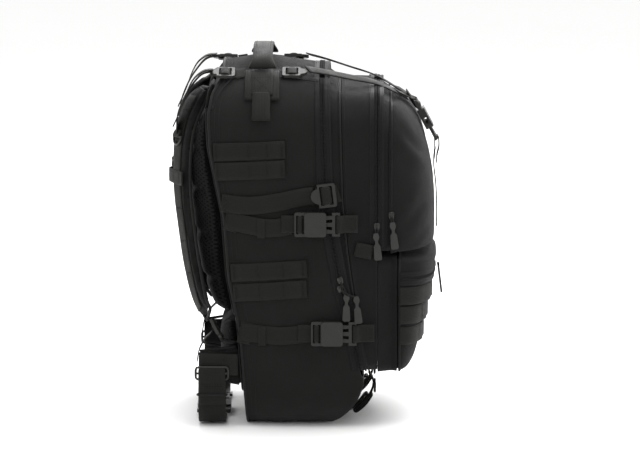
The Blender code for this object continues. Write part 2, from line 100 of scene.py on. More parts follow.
def along(table, z):
    heights, values = zip(*table)
    return float(np.interp(z, heights, values))


def seams_at(z):
    """The y of each whole depth station at a height."""
    seams = [along(table, z) for table in (BACK_SEAM, MAIN_ZIP, DIVIDER)]
    return [*seams, SECOND_ZIP_Y, UPPER_RIM_Y, LOWER_RIM_Y]


def station_y(depth, z):
    return float(np.interp(depth, range(6), seams_at(z)))


def depth_at(y, z):
    return float(np.interp(-y, [-mark for mark in seams_at(z)], range(6)))


def by_depth(values, depth):
    return float(np.interp(depth, STATIONS, values))


def bulge(z):
    return SIDE_BULGE * math.sin(math.pi * min(max(z / 490, 0), 1))


def side_x(y, z, lift=0.0):
    """Half the body's width at a place on its side, plus lift."""
    return by_depth(HALF_WIDTHS, depth_at(y, z)) + bulge(z) + lift


def on_side(side, y, z, lift):
    return (side * side_x(y, z, lift), y, z)


def over_edge(side, y, s, lift):
    """A point s mm from where the top's round corner starts, measured down the outline, and its normal."""
    depth = depth_at(y, 470)
    radius = by_depth(TOP_RADII, depth)
    flat = by_depth(HALF_WIDTHS, depth) - radius
    top = by_depth(TOPS, depth)
    arc = radius * math.pi / 2
    if s < 0:
        x = flat + s
        z = top + by_depth(TOP_ARCHES, depth) * (1 - (x / flat) ** 2)
        return (side * x, y, z + lift), (side * 0.1, 0, 1)
    if s < arc:
        turn = s / radius
        z = top - radius + (radius + lift) * math.cos(turn)
        x = flat + (radius + lift) * math.sin(turn) + bulge(z)
        return (side * x, y, z), (side * math.sin(turn), 0, math.cos(turn))
    z = top - radius - (s - arc)
    return on_side(side, y, z, lift), (side, 0, 0)


def top_z(x, y, lift=0.0):
    """Height of the body's top, plus lift."""
    depth = depth_at(y, 470)
    radius = by_depth(TOP_RADII, depth)
    flat = by_depth(HALF_WIDTHS, depth) - radius
    top = by_depth(TOPS, depth)
    if abs(x) <= flat:
        return top + by_depth(TOP_ARCHES, depth) * (1 - (x / flat) ** 2) + lift
    return top - radius + math.sqrt(radius**2 - (abs(x) - flat) ** 2) + lift


ARC_STEPS = 8
COLUMN_STEPS = 14


def section(depth, low, low_radius, levels, high=None, high_radius=None, shift=0.0):
    """Rows of points right across the body at one depth, from the bottom to the top, left to right."""
    width = by_depth(HALF_WIDTHS, depth)
    high = by_depth(TOPS, depth) if high is None else high
    high_radius = by_depth(TOP_RADII, depth) if high_radius is None else high_radius
    turns = np.linspace(0, math.pi / 2, ARC_STEPS + 1)
    rows = [(width - low_radius * (1 - math.sin(t)), low + low_radius * (1 - math.cos(t))) for t in turns]
    start, end = low + low_radius, high - high_radius
    rows += [(width, start + (end - start) * level) for level in levels]
    rows += [(width - high_radius * (1 - math.cos(t)), high - high_radius * (1 - math.sin(t))) for t in turns]
    spread = np.sin(np.linspace(-math.pi / 2, math.pi / 2, 2 * COLUMN_STEPS + 1))
    grid = np.array([[((x + bulge(z)) * f, station_y(depth, z) - shift, z) for f in spread] for x, z in rows])
    if high > 400:
        grid[-1, :, 2] += by_depth(TOP_ARCHES, depth) * (1 - spread**2)
    return grid


def rim(grid):
    """The closed edge of a grid, from its first corner along its first row."""
    return np.concatenate([grid[0], grid[1:-1, -1], grid[-1, ::-1], grid[-2:0:-1, 0]])


def open_rim(grid, low):
    """The part of a section's edge above a height, from the bottom right over the top to the bottom left."""
    edge = rim(grid)[grid.shape[1]:]
    return edge[edge[:, 2] >= low]


def away_from_middle(edge):
    """Unit directions from the middle of an edge to its points, square to the pack's depth."""
    away = edge - edge.mean(0)
    away[:, 1] = 0
    return unit(away)


# ---------------------------------------------------------------- cloth relief

def fold_noise(p, scale, offset):
    return noise.noise(Vector((p[0] * scale[0], p[1] * scale[1], p[2] * scale[2])) * MM + Vector(offset))


def crease_depth(p, creases):
    """How deep the named creases press at a point. Each is (y0, z0, y1, z1, width, depth)."""
    total = 0.0
    for y0, z0, y1, z1, width, depth in creases:
        run_y, run_z = y1 - y0, z1 - z0
        length = math.hypot(run_y, run_z)
        share = ((p[1] - y0) * run_y + (p[2] - z0) * run_z) / length**2
        if not 0 < share < 1:
            continue
        off = ((p[1] - y0) * run_z - (p[2] - z0) * run_y) / length
        total += depth * math.exp(-((off / width) ** 2)) * math.sin(math.pi * share)
    return total


def relief(p, creases=()):
    """Height of the cloth over its smooth shape, in mm: long soft swells, sharp creases and fine crumple."""
    slow = fold_noise(p, (9, 11, 8), (3.1, 0.4, 7.7))
    run = fold_noise(p, (14, 26, 15), (8.3, 2.9, 1.1))
    patch = max(0.0, fold_noise(p, (7, 7, 7), (1, 5, 9)) + 0.3)
    fold = max(0.0, 1 - abs(run) / 0.11) ** 2 * (0.4 + 0.6 * patch)
    fine = fold_noise(p, (60, 70, 55), (0.7, 3.3, 2.2))
    return 0.9 * slow - 1.7 * fold + 0.16 * fine - 0.5 + crease_depth(p, creases)


def outward(grid, centre, closed):
    """Unit normals of a grid of points, turned away from a centre point."""
    across = np.roll(grid, -1, 1) - np.roll(grid, 1, 1) if closed else np.gradient(grid, axis=1)
    normals = unit(np.cross(across, np.gradient(grid, axis=0)))
    facing = ((grid - np.array(centre)) * normals).sum(2).mean()
    return normals if facing > 0 else -normals


def crumpled(grid, centre=(0, 0, 250), closed=False, amount=1.0, creases=(), hem=4):
    """The grid with cloth relief. Rows near its first and last stay where they are, so that seams meet."""
    rows, columns = grid.shape[:2]
    reach = np.minimum(np.arange(rows), np.arange(rows)[::-1]) / hem
    mask = np.clip(reach, 0, 1)[:, None] * np.ones(columns)
    if not closed:
        mask = mask * np.clip(np.minimum(np.arange(columns), np.arange(columns)[::-1]) / hem, 0, 1)
    normals = outward(grid, centre, closed)
    height = np.array([[relief(p, creases) for p in row] for row in grid]) * amount
    return grid + normals * (height * mask)[:, :, None]


# ---------------------------------------------------------------- mesh helpers


def add_to_scene(obj):
    bpy.context.scene.collection.objects.link(obj)
    return obj


def new_object(name, mesh, mat, body, stands_for=()):
    """Adds a piece with its slot, the body it rides and the CAD nodes it replaces."""
    obj = bpy.data.objects.new(name, mesh)
    add_to_scene(obj)
    if mat:
        mesh.materials.append(mat)
    mesh.shade_smooth()
    if body:
        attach(obj, body)
    if stands_for:
        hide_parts(*stands_for)
    return obj


def add_grid(bm, grid, closed=False):
    """Faces over a grid of points in mm, with UVs in metres."""
    layer = bm.loops.layers.uv.verify()
    grid = np.asarray(grid, float)
    verts = [[bm.verts.new(point(*p)) for p in row] for row in grid]
    wide = np.concatenate([grid, grid[:, :1]], 1) if closed else grid
    u = np.concatenate([[0], np.cumsum(np.linalg.norm(np.diff(wide, axis=1), axis=2).mean(0))]) * MM
    v = np.concatenate([[0], np.cumsum(np.linalg.norm(np.diff(grid, axis=0), axis=2).mean(1))]) * MM
    columns = len(verts[0])
    for r in range(len(verts) - 1):
        for c in range(columns if closed else columns - 1):
            d = (c + 1) % columns
            face = bm.faces.new((verts[r][c], verts[r][d], verts[r + 1][d], verts[r + 1][c]))
            for corner, (i, j) in zip(face.loops, ((r, c), (r, c + 1), (r + 1, c + 1), (r + 1, c))):
                corner[layer].uv = (u[j], v[i])


def from_bmesh(name, bm, mat, body, stands_for=()):
    mesh = bpy.data.meshes.new(name)
    bm.to_mesh(mesh)
    bm.free()
    return new_object(name, mesh, mat, body, stands_for)


def sewn(name, grids, mat, body, stands_for=(), thickness=2.2):
    """A cloth shell from open grids, and closed bands given as (grid, True)."""
    bm = bmesh.new()
    for grid, closed in grids:
        add_grid(bm, grid, closed)
    bmesh.ops.remove_doubles(bm, verts=bm.verts, dist=2e-5)
    bmesh.ops.dissolve_degenerate(bm, edges=bm.edges, dist=1e-6)
    bmesh.ops.recalc_face_normals(bm, faces=bm.faces)
    obj = from_bmesh(name, bm, mat, body, stands_for)
    solid = obj.modifiers.new("cloth", "SOLIDIFY")
    solid.thickness = thickness * MM
    solid.offset = 0
    smooth = obj.modifiers.new("smooth", "SUBSURF")
    smooth.levels = smooth.render_levels = 1
    return obj


def curve_through(points, steps=6):
    """A smooth curve through points, with a number of steps between each two."""
    given = [np.array(p, float) for p in points]
    ends = [2 * given[0] - given[1], *given, 2 * given[-1] - given[-2]]
    made = []
    for a, b, c, d in zip(ends, ends[1:], ends[2:], ends[3:]):
        for k in range(steps):
            t = k / steps
            made.append(0.5 * (2 * b + (c - a) * t + (2 * a - 5 * b + 4 * c - d) * t**2
                               + (3 * b - a - 3 * c + d) * t**3))
    return np.array([*made, ends[-2]])


def columns_at(at, reach, table):
    """Each column of a table at given distances along it."""
    return np.stack([np.interp(at, reach, table[:, k]) for k in range(3)], 1)


def spaced(points, pitch, closed=False):
    """Points at an even pitch along a line, and the direction at each."""
    line = np.asarray(points, float)
    if closed:
        line = np.concatenate([line, line[:1]])
    steps = np.linalg.norm(np.diff(line, axis=0), axis=1)
    line = line[np.concatenate([[True], steps > 1e-6])]
    reach = np.concatenate([[0], np.cumsum(np.linalg.norm(np.diff(line, axis=0), axis=1))])
    count = max(int(reach[-1] / pitch), 1)
    at = (np.arange(count) + 0.5) * reach[-1] / count
    spots = columns_at(at, reach, line)
    ahead = columns_at(np.minimum(at + 0.5, reach[-1]), reach, line)
    behind = columns_at(np.maximum(at - 0.5, 0), reach, line)
    return spots, unit(ahead - behind)


def ringed(name, grid, mat, body, stands_for=(), closed=False):
    """Faces over rings of points in mm, capped at both ends unless the ends meet."""
    bm = bmesh.new()
    add_grid(bm, grid, closed=True)
    if closed:
        bmesh.ops.remove_doubles(bm, verts=bm.verts, dist=1e-6)
    else:
        bm.verts.ensure_lookup_table()
        count = len(grid[0])
        bm.faces.new(bm.verts[:count][::-1])
        bm.faces.new(bm.verts[-count:])
    bmesh.ops.recalc_face_normals(bm, faces=bm.faces)
    return from_bmesh(name, bm, mat, body, stands_for)


def sweep(name, path, profile, normals, mat, body, stands_for=(), scale=None):
    """A solid strip: a closed profile of (across, up) swept along a path with a normal at each point."""
    path = np.asarray(path, float)
    run = unit(np.gradient(path, axis=0))
    ups = np.array(normals, float)
    if ups.ndim == 1:
        ups = np.tile(ups, (len(path), 1))
    ups = unit(ups - run * (ups * run).sum(1, keepdims=True))
    across = np.cross(ups, run)
    scale = np.ones(len(path)) if scale is None else np.asarray(scale)
    grid = np.array([[c + a * s * w + u * h for w, h in profile]
                     for c, a, u, s in zip(path, across, ups, scale)])
    return ringed(name, grid, mat, body, stands_for)


WEBBING_CROWN = 0.12


def band_profile(width, thick):
    """Cross-section of webbing: flat, with round edges and a slight crown."""
    w, t = width / 2, thick / 2
    top = [(w * f, t + WEBBING_CROWN * thick * (1 - f * f)) for f in (0.93, 0.5, 0, -0.5, -0.93)]
    bottom = [(w * f, -t) for f in (-0.93, -0.5, 0, 0.5, 0.93)]
    return [(w, 0), *top, (-w, 0), *bottom]


def webbing(name, path, width, normals, body, stands_for=(), thick=1.6, scale=None, mat=None):
    return sweep(name, path, band_profile(width, thick), normals, mat or WEB, body, stands_for, scale)


def strip(name, points, steps, width, hint, body, stands_for=(), thick=1.6):
    """Webbing on a curve through points that bends in one plane, square to hint."""
    line = curve_through(points, steps)
    return webbing(name, line, width, normals_of(line, hint), body, stands_for, thick)


def tube(name, path, radius, mat, body, closed=False, sides=8):
    """A round cord along a path."""
    path = np.asarray(path, float)
    run = unit(np.roll(path, -1, 0) - np.roll(path, 1, 0) if closed else np.gradient(path, axis=0))
    up = np.zeros_like(run)
    last = np.array([0.31, 0.17, 0.93])
    for k, r in enumerate(run):
        last = unit(last - r * (last @ r))
        up[k] = last
    across = np.cross(run, up)
    turns = np.linspace(0, 2 * math.pi, sides, endpoint=False)
    grid = np.array([[c + radius * (math.cos(t) * a + math.sin(t) * u) for t in turns]
                     for c, a, u in zip(path, across, up)])
    if closed:
        grid = np.concatenate([grid, grid[:1]])
    return ringed(name, grid, mat, body, closed=closed)


# ---------------------------------------------------------------- materials

class Tree:
    """A material's node tree, with short calls to add and join nodes."""

    def __init__(self, name, roughness, metallic=0.0, sheen=0.0, specular=0.5):
        self.mat = bpy.data.materials.new(name)
        self.mat.use_nodes = True
        self.tree = self.mat.node_tree
        self.shader = self.tree.nodes["Principled BSDF"]
        self.shader.inputs["Roughness"].default_value = roughness
        self.shader.inputs["Metallic"].default_value = metallic
        self.shader.inputs["Sheen Weight"].default_value = sheen
        self.shader.inputs["Sheen Roughness"].default_value = 0.45
        self.shader.inputs["Specular IOR Level"].default_value = specular

    def node(self, kind, inputs=None, **settings):
        made = self.tree.nodes.new("ShaderNode" + kind)
        for key, value in settings.items():
            setattr(made, key, value)
        for key, value in (inputs or {}).items():
            if isinstance(value, bpy.types.NodeSocket):
                self.tree.links.new(value, made.inputs[key])
            else:
                made.inputs[key].default_value = value
        return made

    def math(self, operation, a, b=0.0):
        return self.node("Math", {0: a, 1: b}, operation=operation).outputs[0]

    def wave(self, vector, per_metre, axis):
        """Bands along an axis, with a given number to the metre."""
        return self.node("TexWave", {"Vector": vector, "Scale": per_metre * math.pi / 10, "Distortion": 0.0},
                         bands_direction=axis, wave_profile="SIN").outputs["Fac"]

    def noise(self, vector, per_metre, detail=3.0, rough=0.55):
        return self.node("TexNoise", {"Vector": vector, "Scale": per_metre, "Detail": detail,
                                      "Roughness": rough}).outputs["Fac"]

    def ramp(self, value, low, high, out_low=0.0, out_high=1.0):
        return self.node("MapRange", {"Value": value, "From Min": low, "From Max": high,
                                      "To Min": out_low, "To Max": out_high}).outputs[0]

    def colour(self, value, dark, light):
        mixed = self.node("Mix", {0: value}, data_type="RGBA")
        mixed.inputs["A"].default_value = (*dark, 1)
        mixed.inputs["B"].default_value = (*light, 1)
        return mixed.outputs["Result"]

    def tones(self, value, colour, dark, light):
        return self.colour(value, shade(colour, dark), shade(colour, light))

    def weighted(self, a, share_a, b, share_b):
        return self.math("ADD", self.math("MULTIPLY", a, share_a), self.math("MULTIPLY", b, share_b))

    def mix(self, factor, a, b):
        mixed = self.node("Mix", {0: factor}, data_type="RGBA")
        self.tree.links.new(a, mixed.inputs["A"])
        self.tree.links.new(b, mixed.inputs["B"])
        return mixed.outputs["Result"]

    def finish(self, colour, height=None, distance=0.0003, strength=0.6, roughness=None):
        self.tree.links.new(colour, self.shader.inputs["Base Color"])
        if height is not None:
            bump = self.node("Bump", {"Height": height, "Distance": distance, "Strength": strength})
            self.tree.links.new(bump.outputs[0], self.shader.inputs["Normal"])
        if roughness is not None:
            self.tree.links.new(roughness, self.shader.inputs["Roughness"])
        return self.mat


def shade(colour, factor):
    return tuple(c * factor for c in colour)


def rubbed(tree, base, worn, share, low=0.515, high=0.58):
    """The base colour with a worn one on its edges."""
    edges = tree.ramp(tree.node("NewGeometry").outputs["Pointiness"], low, high)
    return tree.mix(tree.math("MULTIPLY", edges, share), base, worn)


def packcloth(name, colour, coords="UV"):
    """Coated nylon packcloth: a plain weave with dusty blotches, raised threads painted lighter and the gaps
    between them painted darker as painted shade, and rubbed seams.
    """
    threads, wear = 900, 1.7
    tree = Tree(name, 0.8, sheen=0.06, specular=0.09)
    place = tree.node("TexCoord")
    weave_at = place.outputs[coords]
    warp = tree.wave(weave_at, threads, "X")
    weft = tree.wave(weave_at, threads, "Y" if coords == "UV" else "Z")
    over = tree.node("TexChecker", {"Vector": weave_at, "Scale": threads * 2.0}).outputs["Fac"]
    height = tree.math("ADD", tree.math("MULTIPLY", warp, over),
                       tree.math("MULTIPLY", weft, tree.math("SUBTRACT", 1.0, over)))
    slub = tree.noise(weave_at, 420, 2.0)
    height = tree.math("ADD", height, tree.math("MULTIPLY", slub, 0.9))
    blotch = tree.noise(place.outputs["Object"], 14, 4.0)
    dust = tree.noise(place.outputs["Object"], 60, 6.0, 0.7)
    patchy = tree.ramp(tree.weighted(blotch, 0.6, dust, 0.4), 0.35, 0.7)
    base = tree.tones(patchy, colour, 0.85, 1.2)
    # Painted shade: raised threads lighter and the gaps between them darker, following the weave's height.
    weave_painted_shade = tree.tones(tree.ramp(height, 0.3, 1.5), colour, 0.6, 1.35)
    base = tree.mix(tree.math("MULTIPLY", tree.ramp(height, 0.2, 1.6), 0.35), base, weave_painted_shade)
    base = rubbed(tree, base, tree.tones(patchy, colour, wear, wear * 1.15), 0.6)
    rough = tree.ramp(dust, 0.3, 0.7, 0.7, 0.88)
    return tree.finish(base, height, 0.00028, 0.7, rough)


def webbing_material(name, colour, pitch=2.2, sheen=0.03):
    """Nylon webbing: a fine herringbone of ribs across the width, with fine cords along its length."""
    tree = Tree(name, 0.62, sheen=sheen, specular=0.14)
    place = tree.node("TexCoord")
    split = tree.node("SeparateXYZ", {0: place.outputs["UV"]})
    tilt = tree.math("PINGPONG", split.outputs["X"], 0.0022)
    chevron = tree.node("CombineXYZ", {"X": split.outputs["X"],
                                       "Y": tree.math("ADD", split.outputs["Y"], tilt)}).outputs[0]
    ribs = tree.wave(chevron, 1000 / pitch, "Y")
    cords = tree.wave(place.outputs["UV"], 450, "X")
    height = tree.weighted(ribs, 0.7, cords, 0.5)
    blotch = tree.noise(place.outputs["Object"], 45, 4.0)
    base = tree.tones(tree.ramp(blotch, 0.35, 0.68), colour, 0.85, 1.2)
    # Painted shade: rib crowns lighter and the grooves between them darker, following the ribs' height.
    base = tree.mix(0.5, base, tree.tones(tree.ramp(height, 0.2, 1.1), colour, 0.65, 1.3))
    base = rubbed(tree, base, tree.tones(blotch, colour, 1.6, 1.9), 0.5)
    return tree.finish(base, height, 0.00035, 0.7, tree.ramp(blotch, 0.3, 0.7, 0.55, 0.72))


def spacer_mesh(name, colour):
    """Open spacer mesh over foam: rows of small round holes with a knit between them, the holes painted dark
    as painted shade.
    """
    tree = Tree(name, 0.9, sheen=0.03, specular=0.08)
    place = tree.node("TexCoord").outputs["Object"]
    turned = tree.node("Mapping", {"Vector": place, "Rotation": (0, math.radians(45), 0)}).outputs[0]
    first = tree.wave(turned, 250, "X")
    second = tree.wave(turned, 250, "Z")
    hole = tree.ramp(tree.math("MULTIPLY", first, second), 0.25, 0.6)
    knit = tree.noise(place, 900, 2.0)
    height = tree.weighted(hole, -1.0, knit, 0.25)
    blotch = tree.noise(place, 30, 4.0)
    # Painted shade: the holes are coloured far darker than the yarn around them.
    yarn, gap = tree.tones(blotch, colour, 0.9, 1.5), tree.tones(blotch, colour, 0.15, 0.3)
    return tree.finish(tree.mix(hole, yarn, gap), height, 0.0009, 0.8, tree.ramp(knit, 0.3, 0.7, 0.8, 0.95))


def moulded(name, colour, roughness=0.4):
    """Satin moulded plastic: a fine spark-eroded grain, faint flow marks and rubbed edges."""
    tree = Tree(name, roughness, specular=0.3)
    place = tree.node("TexCoord").outputs["Object"]
    grain = tree.noise(place, 2600, 2.0)
    flow = tree.noise(place, 90, 3.0)
    scuff = tree.noise(place, 400, 5.0, 0.75)
    base = tree.tones(tree.ramp(flow, 0.35, 0.65), colour, 0.9, 1.12)
    base = rubbed(tree, base, tree.tones(scuff, colour, 1.5, 2.4), 0.55, 0.52, 0.62)
    rough = tree.ramp(scuff, 0.35, 0.75, roughness - 0.06, roughness + 0.16)
    return tree.finish(base, grain, 0.00008, 0.5, rough)


def plain_thread(name, colour, per_metre, bump):
    """Twisted thread, coil or tape: a fine regular ribbing with slight colour variation."""
    tree = Tree(name, 0.55, specular=0.2)
    place = tree.node("TexCoord").outputs["Object"]
    ribs = tree.node("TexVoronoi", {"Vector": place, "Scale": per_metre}).outputs["Distance"]
    blotch = tree.noise(place, 120, 3.0)
    base = tree.tones(blotch, colour, 0.75, 1.3)
    return tree.finish(base, ribs, bump, 0.6, tree.ramp(blotch, 0.3, 0.7, 0.45, 0.65))


def metal(name, colour):
    """Black-coated steel with the coating rubbed thin in scattered scuffs."""
    tree = Tree(name, 0.3, metallic=0.85)
    place = tree.node("TexCoord").outputs["Object"]
    scuff = tree.noise(place, 500, 5.0, 0.7)
    base = tree.tones(tree.ramp(scuff, 0.45, 0.7), colour, 1, 2.2)
    return tree.finish(base, scuff, 0.00004, 0.4, tree.ramp(scuff, 0.35, 0.7, 0.25, 0.5))


CLOTH = packcloth("packcloth", (0.0096, 0.0096, 0.0092))
PANEL = packcloth("packcloth_front", (0.0079, 0.0079, 0.0077))
DOME = packcloth("packcloth_dome", (0.0094, 0.0094, 0.0092))
LINING = packcloth("packcloth_pad", (0.0064, 0.0064, 0.0061), coords="Object")
WEB = webbing_material("webbing", (0.0072, 0.0073, 0.0062))
BINDING = webbing_material("binding_tape", (0.0075, 0.0075, 0.0072), pitch=1.4)
MESH = spacer_mesh("spacer_mesh", (0.0094, 0.0094, 0.0092))
HARD = moulded("black_acetal", (0.013, 0.0134, 0.0116))
PULL = moulded("zip_pull_plastic", (0.02, 0.0205, 0.019), 0.45)
SHEET = moulded("stiffener_sheet", (0.01, 0.01, 0.01), 0.5)
THREAD = plain_thread("thread", (0.013, 0.013, 0.012), 2500, 0.0001)
COIL = plain_thread("zip_coil", (0.009, 0.009, 0.009), 1500, 0.0002)
TAPE = webbing_material("zip_tape", (0.005, 0.005, 0.005), pitch=1.2, sheen=0.02)
STEEL = metal("coated_steel", (0.03, 0.03, 0.028))


# ---------------------------------------------------------------- stitching, zips and piping

THREADS = {}
TEETH = {}
STITCH_PITCH = 3.6
STITCH_LENGTH = 2.5
STITCH_RADIUS = 0.36
TACK_PITCH = 2.0
TACK_GAP = 0.7
TOOTH_PITCH = 2.0


def thread(body, points, closed=False, pitch=STITCH_PITCH):
    """Adds a row of stitches to the one stitching mesh of a body."""
    spots, runs = spaced(points, pitch, closed)
    THREADS.setdefault(body, []).append((spots, runs, STITCH_LENGTH * pitch / STITCH_PITCH))


def box_stitch(body, centre, u, v, half_u, half_v, cross=True):
    """A rectangle of stitches, with its diagonals."""
    c, u, v = (np.array(p, float) for p in (centre, u, v))
    corners = [c + u * half_u * a + v * half_v * b for a, b in ((-1, -1), (1, -1), (1, 1), (-1, 1))]
    thread(body, corners, closed=True)
    if cross:
        thread(body, [corners[0], corners[2]])
        thread(body, [corners[1], corners[3]])


def bar_tack(body, centre, run, across, half):
    """Two short close rows of stitches across webbing."""
    run, across = np.array(run, float), np.array(across, float)
    for shift in (-TACK_GAP, TACK_GAP):
        middle = centre + run * shift
        thread(body, [middle - across * half, middle + across * half], pitch=TACK_PITCH)


def links(name, body, mat, each):
    """One mesh of many small links, each given as four rings of points in mm."""
    verts, faces = [], []
    for rings in each:
        first, sides = len(verts), len(rings[0])
        verts += [point(*p) for ring in rings for p in ring]
        for start in range(first, first + 3 * sides, sides):
            for k in range(sides):
                a, b = start + k, start + (k + 1) % sides
                faces.append((a, b, b + sides, a + sides))
        last = first + 3 * sides
        faces += [tuple(range(first, first + sides))[::-1], tuple(range(last, last + sides))]
    mesh = bpy.data.meshes.new(name)
    mesh.from_pydata(verts, [], faces)
    new_object(name, mesh, mat, body)


def stitch_rings(spot, run, length):
    side = unit(np.cross(run, (0.3, 0.2, 0.93)))
    up = np.cross(side, run)
    rings = []
    for reach, taper in ((-0.5, 0.35), (-0.28, 1), (0.28, 1), (0.5, 0.35)):
        centre, girth = spot + run * length * reach, STITCH_RADIUS * taper
        rings.append([centre + (side * a + up * b) * girth for a, b in ((0, 1), (0.87, -0.5), (-0.87, -0.5))])
    return rings


def tooth_rings(spot, run, lay, up):
    return [[spot + lay * w + (run * a + up * b) * girth for a, b in ((1, 0), (0, 1), (-1, 0), (0, -1))]
            for w, girth in ((-1.9, 0.45), (-0.7, 0.72), (0.7, 0.72), (1.9, 0.3))]


def sew_all():
    """Makes the one stitching mesh and the one zip coil mesh of each body."""
    for body, rows in THREADS.items():
        links("stitching_" + body, body, THREAD,
              (stitch_rings(*at, length) for spots, runs, length in rows for at in zip(spots, runs)))
    for body, rows in TEETH.items():
        links("zip_coil_" + body, body, COIL, (tooth_rings(*tooth) for row in rows for tooth in zip(*row)))


ZIP_MIDDLE = (0, -60, 270)


def zip_half(name, body, line, inward, stands_off, tape):
    """One half of a coil zip along a line: its tape, lying away from the line along inward, and its coil."""
    spots, runs = spaced(line, 4.0)
    across = unit(np.array(inward, float) - runs * (np.array(inward) @ runs.T)[:, None], 1e-6)
    out = np.cross(across, runs)
    out *= np.sign((out * (spots - np.array(ZIP_MIDDLE))).sum(1, keepdims=True))
    path = spots + across * (tape / 2 + 1.6) + out * stands_off
    webbing(name + "_tape", path, tape, out, body, thick=0.8, mat=TAPE)
    thread(body, path + across * (tape / 2 - 2.2) + out * 0.7)
    teeth, teeth_runs = spaced(spots + across * 1.3 + out * (stands_off + 0.7), TOOTH_PITCH)
    reach = np.linspace(0, 1, len(spots))
    at = np.linspace(0, 1, len(teeth))
    lay, up = (columns_at(at, reach, directions) for directions in (across, out))
    TEETH.setdefault(body, []).append((teeth, teeth_runs, lay, up))


def piping(name, grid, body, radius=1.9, lift=0.9):
    """A corded edge along the rim of a section, standing a little proud of the cloth."""
    edge = rim(grid)
    path = spaced(edge + away_from_middle(edge) * lift, 7.0, closed=True)[0]
    tube(name, path, radius, BINDING, body, closed=True)


def rim_row(depth, low, grid_args, body):
    """A row of stitches round the body at one depth."""
    edge = open_rim(section(depth, *grid_args), low)
    thread(body, edge + away_from_middle(edge) * STITCH_LIFT)


# ---------------------------------------------------------------- sewn body

STITCH_LIFT = 1.5
LINING_THICKNESS = 1.2
MAIN_EDGE, LID_EDGE, SECOND_EDGE, PANEL_EDGE, POCKET_EDGE = 0.996, 1.008, 2.99, 3.05, 3.93
FINE = np.linspace(0.03, 0.97, 34)
MAIN_ARGS = (1.5, 50, FINE)
FRONT_ARGS = (FRONT_Z, 14, FINE)
LOWER_ARGS = (77, 12, np.linspace(0.04, 0.96, 18), 236, 12)
SIDE_CREASES = [(60, 20, -30, 60, 5, -1.6), (75, 60, -10, 45, 4, -1.2), (-20, 400, -30, 250, 6, -1.3),
                (95, 420, 60, 300, 7, -1.2), (40, 250, -20, 190, 5, -1.1), (20, 140, -60, 60, 6, -1.4),
                (-45, 455, -30, 380, 5, -1.5), (-10, 30, -60, 110, 4, -1.3)]
DOME_CREASES = [(-129, 428, -178, 372, 4, -3.2), (-135, 408, -180, 352, 5, 2.2),
                (-132, 262, -178, 318, 4.5, -3.0), (-130, 282, -170, 345, 6, 2.0),
                (-150, 250, -186, 285, 4, -2.0), (-129, 380, -165, 350, 5, -1.8)]
LOWER_CREASES = [(-110, 90, -134, 120, 4, -1.2), (-112, 215, -134, 170, 5, -1.3)]


def band(depths, args, shifts=None, creases=SIDE_CREASES, amount=1.0):
    """A closed band of cloth with relief, through the edges of sections at several depths."""
    shifts = np.zeros(len(depths)) if shifts is None else shifts
    grid = np.array([rim(section(d, *args, shift=s)) for d, s in zip(depths, shifts)])
    return crumpled(grid, closed=True, creases=creases, amount=amount, hem=3)


def dome(args, crown, rim_y, creases, centre, amount):
    """A pocket face pushed forward to its crown line, with cloth relief."""
    grid = section(*args)
    grid[:, :, 1] = rim_y
    line = curve_through([(0, y, z) for z, y in crown], 5)
    order = np.argsort(line[:, 2])
    depth = np.interp(grid[:, 0, 2], line[order, 2], line[order, 1]) - crown[0][1]
    depth[0] = depth[-1] = 0
    spread = grid[-1, :, 0] / abs(grid[-1, :, 0]).max()
    swell = np.sqrt(np.maximum(1 - spread**4, 0))
    grid[:, :, 1] += depth[:, None] * swell
    return crumpled(grid, centre=centre, creases=creases, amount=amount, hem=2)


def below(grid, height):
    """The rows of a section up to a height."""
    return grid[grid[:, 0, 2] <= height]


def sewn_body():
    """The cloth of every compartment and pocket, from the back to the lower pocket's face."""
    main_depths = np.concatenate([[0, 0.02], np.linspace(0.06, 0.94, 24), [0.975, MAIN_EDGE]])
    back = section(0, *MAIN_ARGS)
    sewn("main_body", [(band(main_depths, MAIN_ARGS), True), (crumpled(back, amount=0.4), False),
                       (below(section(MAIN_EDGE, *MAIN_ARGS), 76), False)], CLOTH, "root", ["main_shell"])
    lid = [LID_EDGE, 1.06, *np.linspace(1.16, 1.86, 5), 1.95, 2]
    sewn("lid_body", [(band(lid, FRONT_ARGS, amount=0.7), True), (section(2, *FRONT_ARGS), False)],
         PANEL, "front_section", ["lid_shell"])
    second = [2, 2.06, *np.linspace(2.15, 2.85, 9), 2.94, SECOND_EDGE]
    slip = [2.0, 1.6, *np.linspace(1, 0, 9), 0, 0]
    sewn("second_body", [(band(second, FRONT_ARGS, shifts=slip, amount=0.9), True),
                         (below(section(SECOND_EDGE, *FRONT_ARGS), 242), False)],
         PANEL, "front_section", ["second_shell"])
    upper_args = (247, 10, np.linspace(0.04, 0.96, 20))
    panel = [PANEL_EDGE, 3.12, *np.linspace(3.3, 3.8, 4), 3.88, POCKET_EDGE]
    wall = section(PANEL_EDGE, *upper_args)
    sewn("upper_panel_cloth", [(band(panel, upper_args, amount=0.5), True), (wall, False)],
         PANEL, "upper_panel", ["upper_panel"])
    face_args = (4, 243, 14, np.linspace(0.03, 0.97, 24), 446, 46)
    sewn("upper_dome", [(dome(face_args, UPPER_CROWN, -127.8, DOME_CREASES, (0, -100, 345), 1.3), False)],
         DOME, "upper_cover", ["upper_cover"])
    gusset = [PANEL_EDGE, 3.15, *np.linspace(3.5, 4.6, 7), 4.82, 4.9]
    sewn("lower_gusset_cloth", [(band(gusset, LOWER_ARGS, creases=LOWER_CREASES, amount=0.8), True)],
         PANEL, "front_section", ["lower_gusset"])
    sewn("lower_face_cloth", [(dome((5, *LOWER_ARGS), LOWER_CROWN, -138.5, (), (0, -100, 150), 0.7), False)],
         PANEL, "lower_face", ["lower_face"])


def inset(edge, distance):
    """A section's edge drawn in towards its middle."""
    return edge - away_from_middle(edge) * distance


